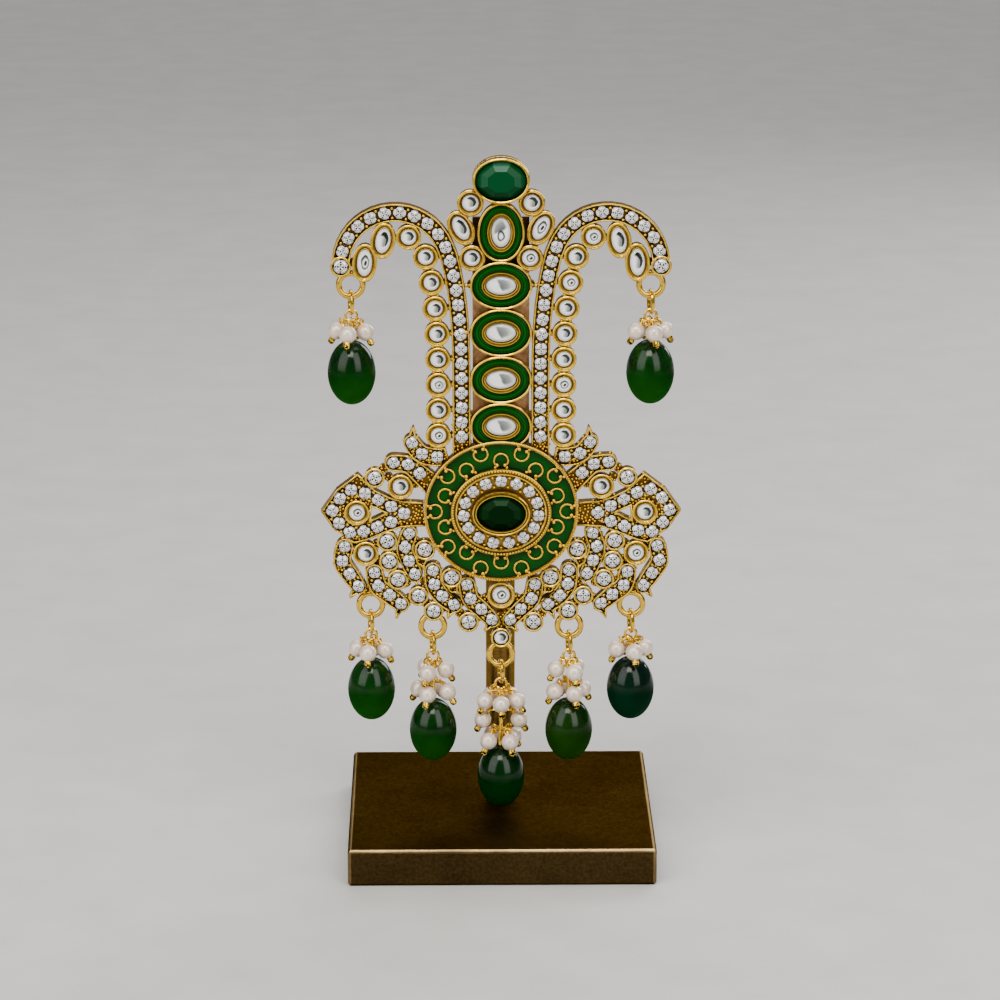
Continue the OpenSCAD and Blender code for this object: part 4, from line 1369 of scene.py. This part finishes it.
class ORNAMENT_OT_foil_stones(bpy.types.Operator):
    """Sets flat, foil backed glass in the cups and in the column"""

    bl_idname = "ornament.foil_stones"
    bl_label = "Foil backed stones"

    # Height of the glass, and its width against its seat
    cup_rise = 1.48
    cup_fit = 0.92
    column_rise = 2.08

    def execute(self, context):
        rng = random.Random(context.scene.ornament_stage.seed + 1)
        cup_glass = foil_material("foil backed glass", False)
        column_glass = foil_material("foil backed glass of the column", True)
        for node in (*CUPS, *COLUMN):
            column = node in COLUMN
            rise, fit = (self.column_rise, 1) if column else (self.cup_rise, self.cup_fit)
            parts = []
            for x, y, lift, a, b, turn in stones_of(node):
                tone = rng.uniform(0, 0.8)
                reflection_top = turn
                if column:
                    turn, reflection_top = abs(turn), 0
                    tone = 1.0 if math.sin(turn) > 0.5 else tone
                parts.append(foil_stone(tone, reflection_top))
                size = (fit * a * MM, fit * b * MM, rise * MM)
                parts[-1].matrix_world = on_face(x, y, lift + 0.02, turn, size)
                select(parts[-1])
                settle()
            glass = column_glass if column else cup_glass
            finish(join(parts), node + "_glass", glass, angle=25, node=node)
        return {"FINISHED"}


class ORNAMENT_OT_green_stones(bpy.types.Operator):
    """Cuts the dark stone in the medallion and the lighter one in the crown"""

    bl_idname = "ornament.green_stones"
    bl_label = "Green stones"

    # Painted light and shade: tones of the facets, from the right one round to the left, and of the table
    tones = (0.7, 0.55, 0.95, 0.6, 0.65, 0.35, 0.3, 0.45, 0.5)
    dark = ((0.0, (0.0, 0.003, 0.0006)), (0.5, (0.0, 0.012, 0.001)), (1.0, (0.004, 0.038, 0.008)))
    light = ((0.0, (0.0, 0.006, 0.001)), (0.5, (0.0, 0.053, 0.013)), (1.0, (0.034, 0.13, 0.078)))

    def execute(self, context):
        for node, stops, rise, coat in (("centre_stone", self.dark, 1.9, 0.07),
                                        ("crown_stone", self.light, 2.4, 0.16)):
            x, y, lift, a, b, turn = stones_of(node)[0]
            stone = step_stone(self.tones)
            stone.matrix_world = on_face(x, y, lift + 0.32 * rise, turn, (a * MM, b * MM, rise * MM))
            material = facet_material(node.replace("_", " "), stops, 0.0, 0.0, 0.2, coat)
            finish(stone, node + "_cut", material, angle=0, node=node)
        return {"FINISHED"}


class ORNAMENT_OT_enamel(bpy.types.Operator):
    """Fills the column's ovals with domed enamel that has two engraved lines, and glazes the medallion"""

    bl_idname = "ornament.enamel"
    bl_label = "Enamel"

    # Half width and half height of the enamel's outline in millimetres
    upright = (4.15, 5.4)
    lying = (5.65, 4.35)
    dish = (14.8, 13.8)
    # Across the enamel from the stone's bezel to the oval's rim, and the height above the back
    profile = ((0, 1.4), (0, 2.15), (0.08, 2.26), (0.24, 2.36), (0.31, 2.38), (0.345, 2.2), (0.38, 2.4),
               (0.5, 2.43), (0.62, 2.4), (0.655, 2.2), (0.69, 2.38), (0.8, 2.34), (0.93, 2.24), (1, 2.12),
               (1, 1.4))
    # How far from the stone the enamel starts, and how far past its outline it goes under the rim
    inner = 0.66
    under_rim = 0.06

    def execute(self, context):
        for i, (x, y, lift, a, b, turn) in enumerate(stones_of(*COLUMN), 1):
            upright = abs(math.sin(turn)) > 0.5
            a, b = (b, a) if upright else (a, b)
            half = self.upright if upright else self.lying
            outer = (half[0] + self.under_rim, half[1] + self.under_rim)
            oval = oval_band(x, y, (a + self.inner, b + self.inner), outer, self.profile)
            glaze = enamel_material(f"glaze {i}", x, y, half, 0.62, 3.0, 0.35)
            finish(oval, f"column_glaze_{i}", glaze, angle=30, node=f"column_enamel_{i}")
        paint("medallion_enamel", enamel_material("medallion enamel", 0, 0, self.dish, 0.64, 2.0, 0.12))
        return {"FINISHED"}


class ORNAMENT_OT_drops(bpy.types.Operator):
    """Hangs green beads and clusters of pearls, with their balls and wire wraps"""

    bl_idname = "ornament.drops"
    bl_label = "Drops"

    # How far each jump ring turns from edge on, in degrees
    ring_turn = 8
    ring_wire = 0.42
    # Radius and wire of the eye that the ring holds, and where it lies below the wire's top
    eye_r = 1.15
    eye_wire = 0.27
    eye_drop = 1.4
    # The wraps round the wire under the eye: radius, number, the first one's place and the step down
    wrap_r = 0.62
    wrap_count = 4
    wrap_start = 1.35
    wrap_step = 0.36
    # Radius of the loop that a pearl hangs by, and how far past the pearl it is
    pearl_loop_r = 0.66
    pearl_loop_gap = 0.35
    # Colours of the beads that differ from the rest: the core, and the light green of veins and of the
    # painted light low down
    shades = {"outer_right": ((0.0, 0.006, 0.003), (0.001, 0.03, 0.009)),
              "main": ((0.0, 0.008, 0.001), (0.001, 0.044, 0.003)),
              "inner_right": ((0.001, 0.01, 0.0005), (0.01, 0.062, 0.001))}

    def execute(self, context):
        style = context.scene.ornament_drops
        rng = random.Random(context.scene.ornament_stage.seed + 3)
        pearl = pearl_material()
        for drop in DROPS:
            pins = self.headpins(drop, rng)
            self.bead(drop, *self.shades.get(drop, (tuple(style.green), tuple(style.green_veined_and_lit))))
            self.pearls(drop, pins, pearl)
            self.wires(drop, pins, style, rng)
        return {"FINISHED"}

    def hang(self, obj, drop, name, node, material, slot, angle=35):
        """Finishes a piece of a drop, which takes the place of one of the drop's CAD nodes."""
        finish(obj, f"{drop}_{name}", material, drop + "_drop", angle, f"{drop}_{node}")

    def headpins(self, drop, rng):
        """The centre, the radius and the direction of the headpin of each pearl of a drop."""
        low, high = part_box(drop + "_bead")
        found = []
        for centre, radius in balls_of(drop + "_pearls"):
            out = (centre - (low + high) / 2) * Vector((1, 1, 0))
            direction = out.normalized() * 0.5 + Vector((rng.uniform(-0.1, 0.1), 0, -0.87))
            found.append((centre, radius, direction.normalized()))
        return found

    def bead(self, drop, core, rim):
        """A bead with drawn in, drilled ends."""
        low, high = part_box(drop + "_bead")
        glass = bead_material(drop.replace("_", " ") + " green glass", core, rim, high.z - 3 * MM, low.z)
        obj = ball(48, 32)
        drill(obj, 0.985, -0.04)
        edit()
        bpy.ops.transform.resize(value=(high - low) / 2)
        leave_edit()
        obj.location = (low + high) / 2
        self.hang(obj, drop, "green_bead", "bead", glass, "green_glass", 60)

    def pearls(self, drop, pins, material):
        pearl = ball(32, 18)
        drill(pearl, 0.97, -0.06)
        cluster = copies(pearl, [along(centre, direction, radius) for centre, radius, direction in pins])
        self.hang(cluster, drop, "pearl_cluster", "pearls", material, "pearl", 60)

    def tips(self, pins, radius):
        """The ball at the end of each headpin, drawn out towards its pearl."""
        tip = ball(16, 10)
        edit_faces(tip, lambda face: face.center.z < -0.9)
        bpy.ops.mesh.extrude_region_move(TRANSFORM_OT_translate={"value": (0, 0, -0.5)})
        leave_edit()
        return copies(tip, [along(centre + direction * (reach + 0.72 * radius), direction, radius)
                            for centre, reach, direction in pins])

    def wires(self, drop, pins, style, rng):
        """The ball under each pearl, the loop that each headpin hangs by, and the wraps under the eye."""
        low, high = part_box(drop + "_bead")
        foot = Vector(((low.x + high.x) / 2, (low.y + high.y) / 2, low.z + 1.5 * MM))
        eye = Vector((foot.x, foot.y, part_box(drop + "_wire")[1].z - self.eye_drop * MM))
        parts = [self.tips(pins, style.tip * MM), hoop(eye, self.eye_r, 0, QUARTER, self.eye_wire),
                 rod(eye - Vector((0, 0, self.eye_r * MM)), foot, 0.35)]
        for centre, radius, direction in pins:
            inner = centre - direction * (radius + self.pearl_loop_gap * MM)
            parts.append(hoop(inner, self.pearl_loop_r, rng.uniform(0, math.pi), rng.uniform(0.9, 1.5)))
            parts.append(rod(centre - direction * radius * 0.8, inner))
            parts.append(rod(inner, Vector((foot.x, foot.y, centre.z + 2 * MM)), 0.25))
        for i in range(self.wrap_count):
            below = eye - Vector((0, 0, (self.wrap_start + self.wrap_step * i) * MM))
            parts.append(hoop(below, self.wrap_r, 0, rng.uniform(-0.15, 0.15)))
        for side in (-1, 1):
            beside = eye + Vector((side * 1.05, -0.2, -1.35)) * MM
            parts.append(hoop(beside, 0.8, side * 0.5, math.radians(80), 0.22))
        self.hang(join(parts), drop, "wire_work", "wire", fine_gold(), "gilt")
        low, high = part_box(drop + "_ring")
        ring = hoop((low + high) / 2, (high.z - low.z) / 2 / MM - 0.3, QUARTER + math.radians(self.ring_turn),
                    QUARTER, self.ring_wire)
        self.hang(ring, drop, "jump_ring", "ring", fine_gold(), "gilt")


class ORNAMENT_PT_panel(bpy.types.Panel):
    """Lists the ornament's pieces and settings"""

    bl_label = "Turban ornament"
    bl_idname = "ORNAMENT_PT_panel"
    bl_space_type = "VIEW_3D"
    bl_region_type = "UI"
    bl_category = "Ornament"

    def draw(self, context):
        layout = self.layout
        for operator in OPERATORS:
            layout.operator(operator.bl_idname)
        for name in SETTINGS:
            settings = getattr(context.scene, name)
            box = layout.box()
            for key in settings.__annotations__:
                box.prop(settings, key)


SETTINGS = {"ornament_gold": ORNAMENT_PG_gold, "ornament_stand": ORNAMENT_PG_stand,
            "ornament_drops": ORNAMENT_PG_drops, "ornament_stage": ORNAMENT_PG_stage}
OPERATORS = (ORNAMENT_OT_stage, ORNAMENT_OT_stand, ORNAMENT_OT_gilt_work, ORNAMENT_OT_beading,
             ORNAMENT_OT_rims, ORNAMENT_OT_medallion, ORNAMENT_OT_grains, ORNAMENT_OT_white_stones,
             ORNAMENT_OT_foil_stones, ORNAMENT_OT_green_stones, ORNAMENT_OT_enamel, ORNAMENT_OT_drops)
CLASSES = (*SETTINGS.values(), *OPERATORS, ORNAMENT_PT_panel)


def register():
    for cls in CLASSES:
        bpy.utils.register_class(cls)
    for name, cls in SETTINGS.items():
        setattr(bpy.types.Scene, name, PointerProperty(type=cls))


def unregister():
    for name in SETTINGS:
        delattr(bpy.types.Scene, name)
    for cls in reversed(CLASSES):
        bpy.utils.unregister_class(cls)


def main():
    register()
    bpy.ops.ornament.stage()
    bpy.ops.ornament.stand()
    bpy.ops.ornament.gilt_work()
    bpy.ops.ornament.beading()
    bpy.ops.ornament.rims()
    bpy.ops.ornament.medallion()
    bpy.ops.ornament.grains()
    bpy.ops.ornament.white_stones()
    bpy.ops.ornament.foil_stones()
    bpy.ops.ornament.green_stones()
    bpy.ops.ornament.enamel()
    bpy.ops.ornament.drops()


if __name__ == "__main__":
    main()
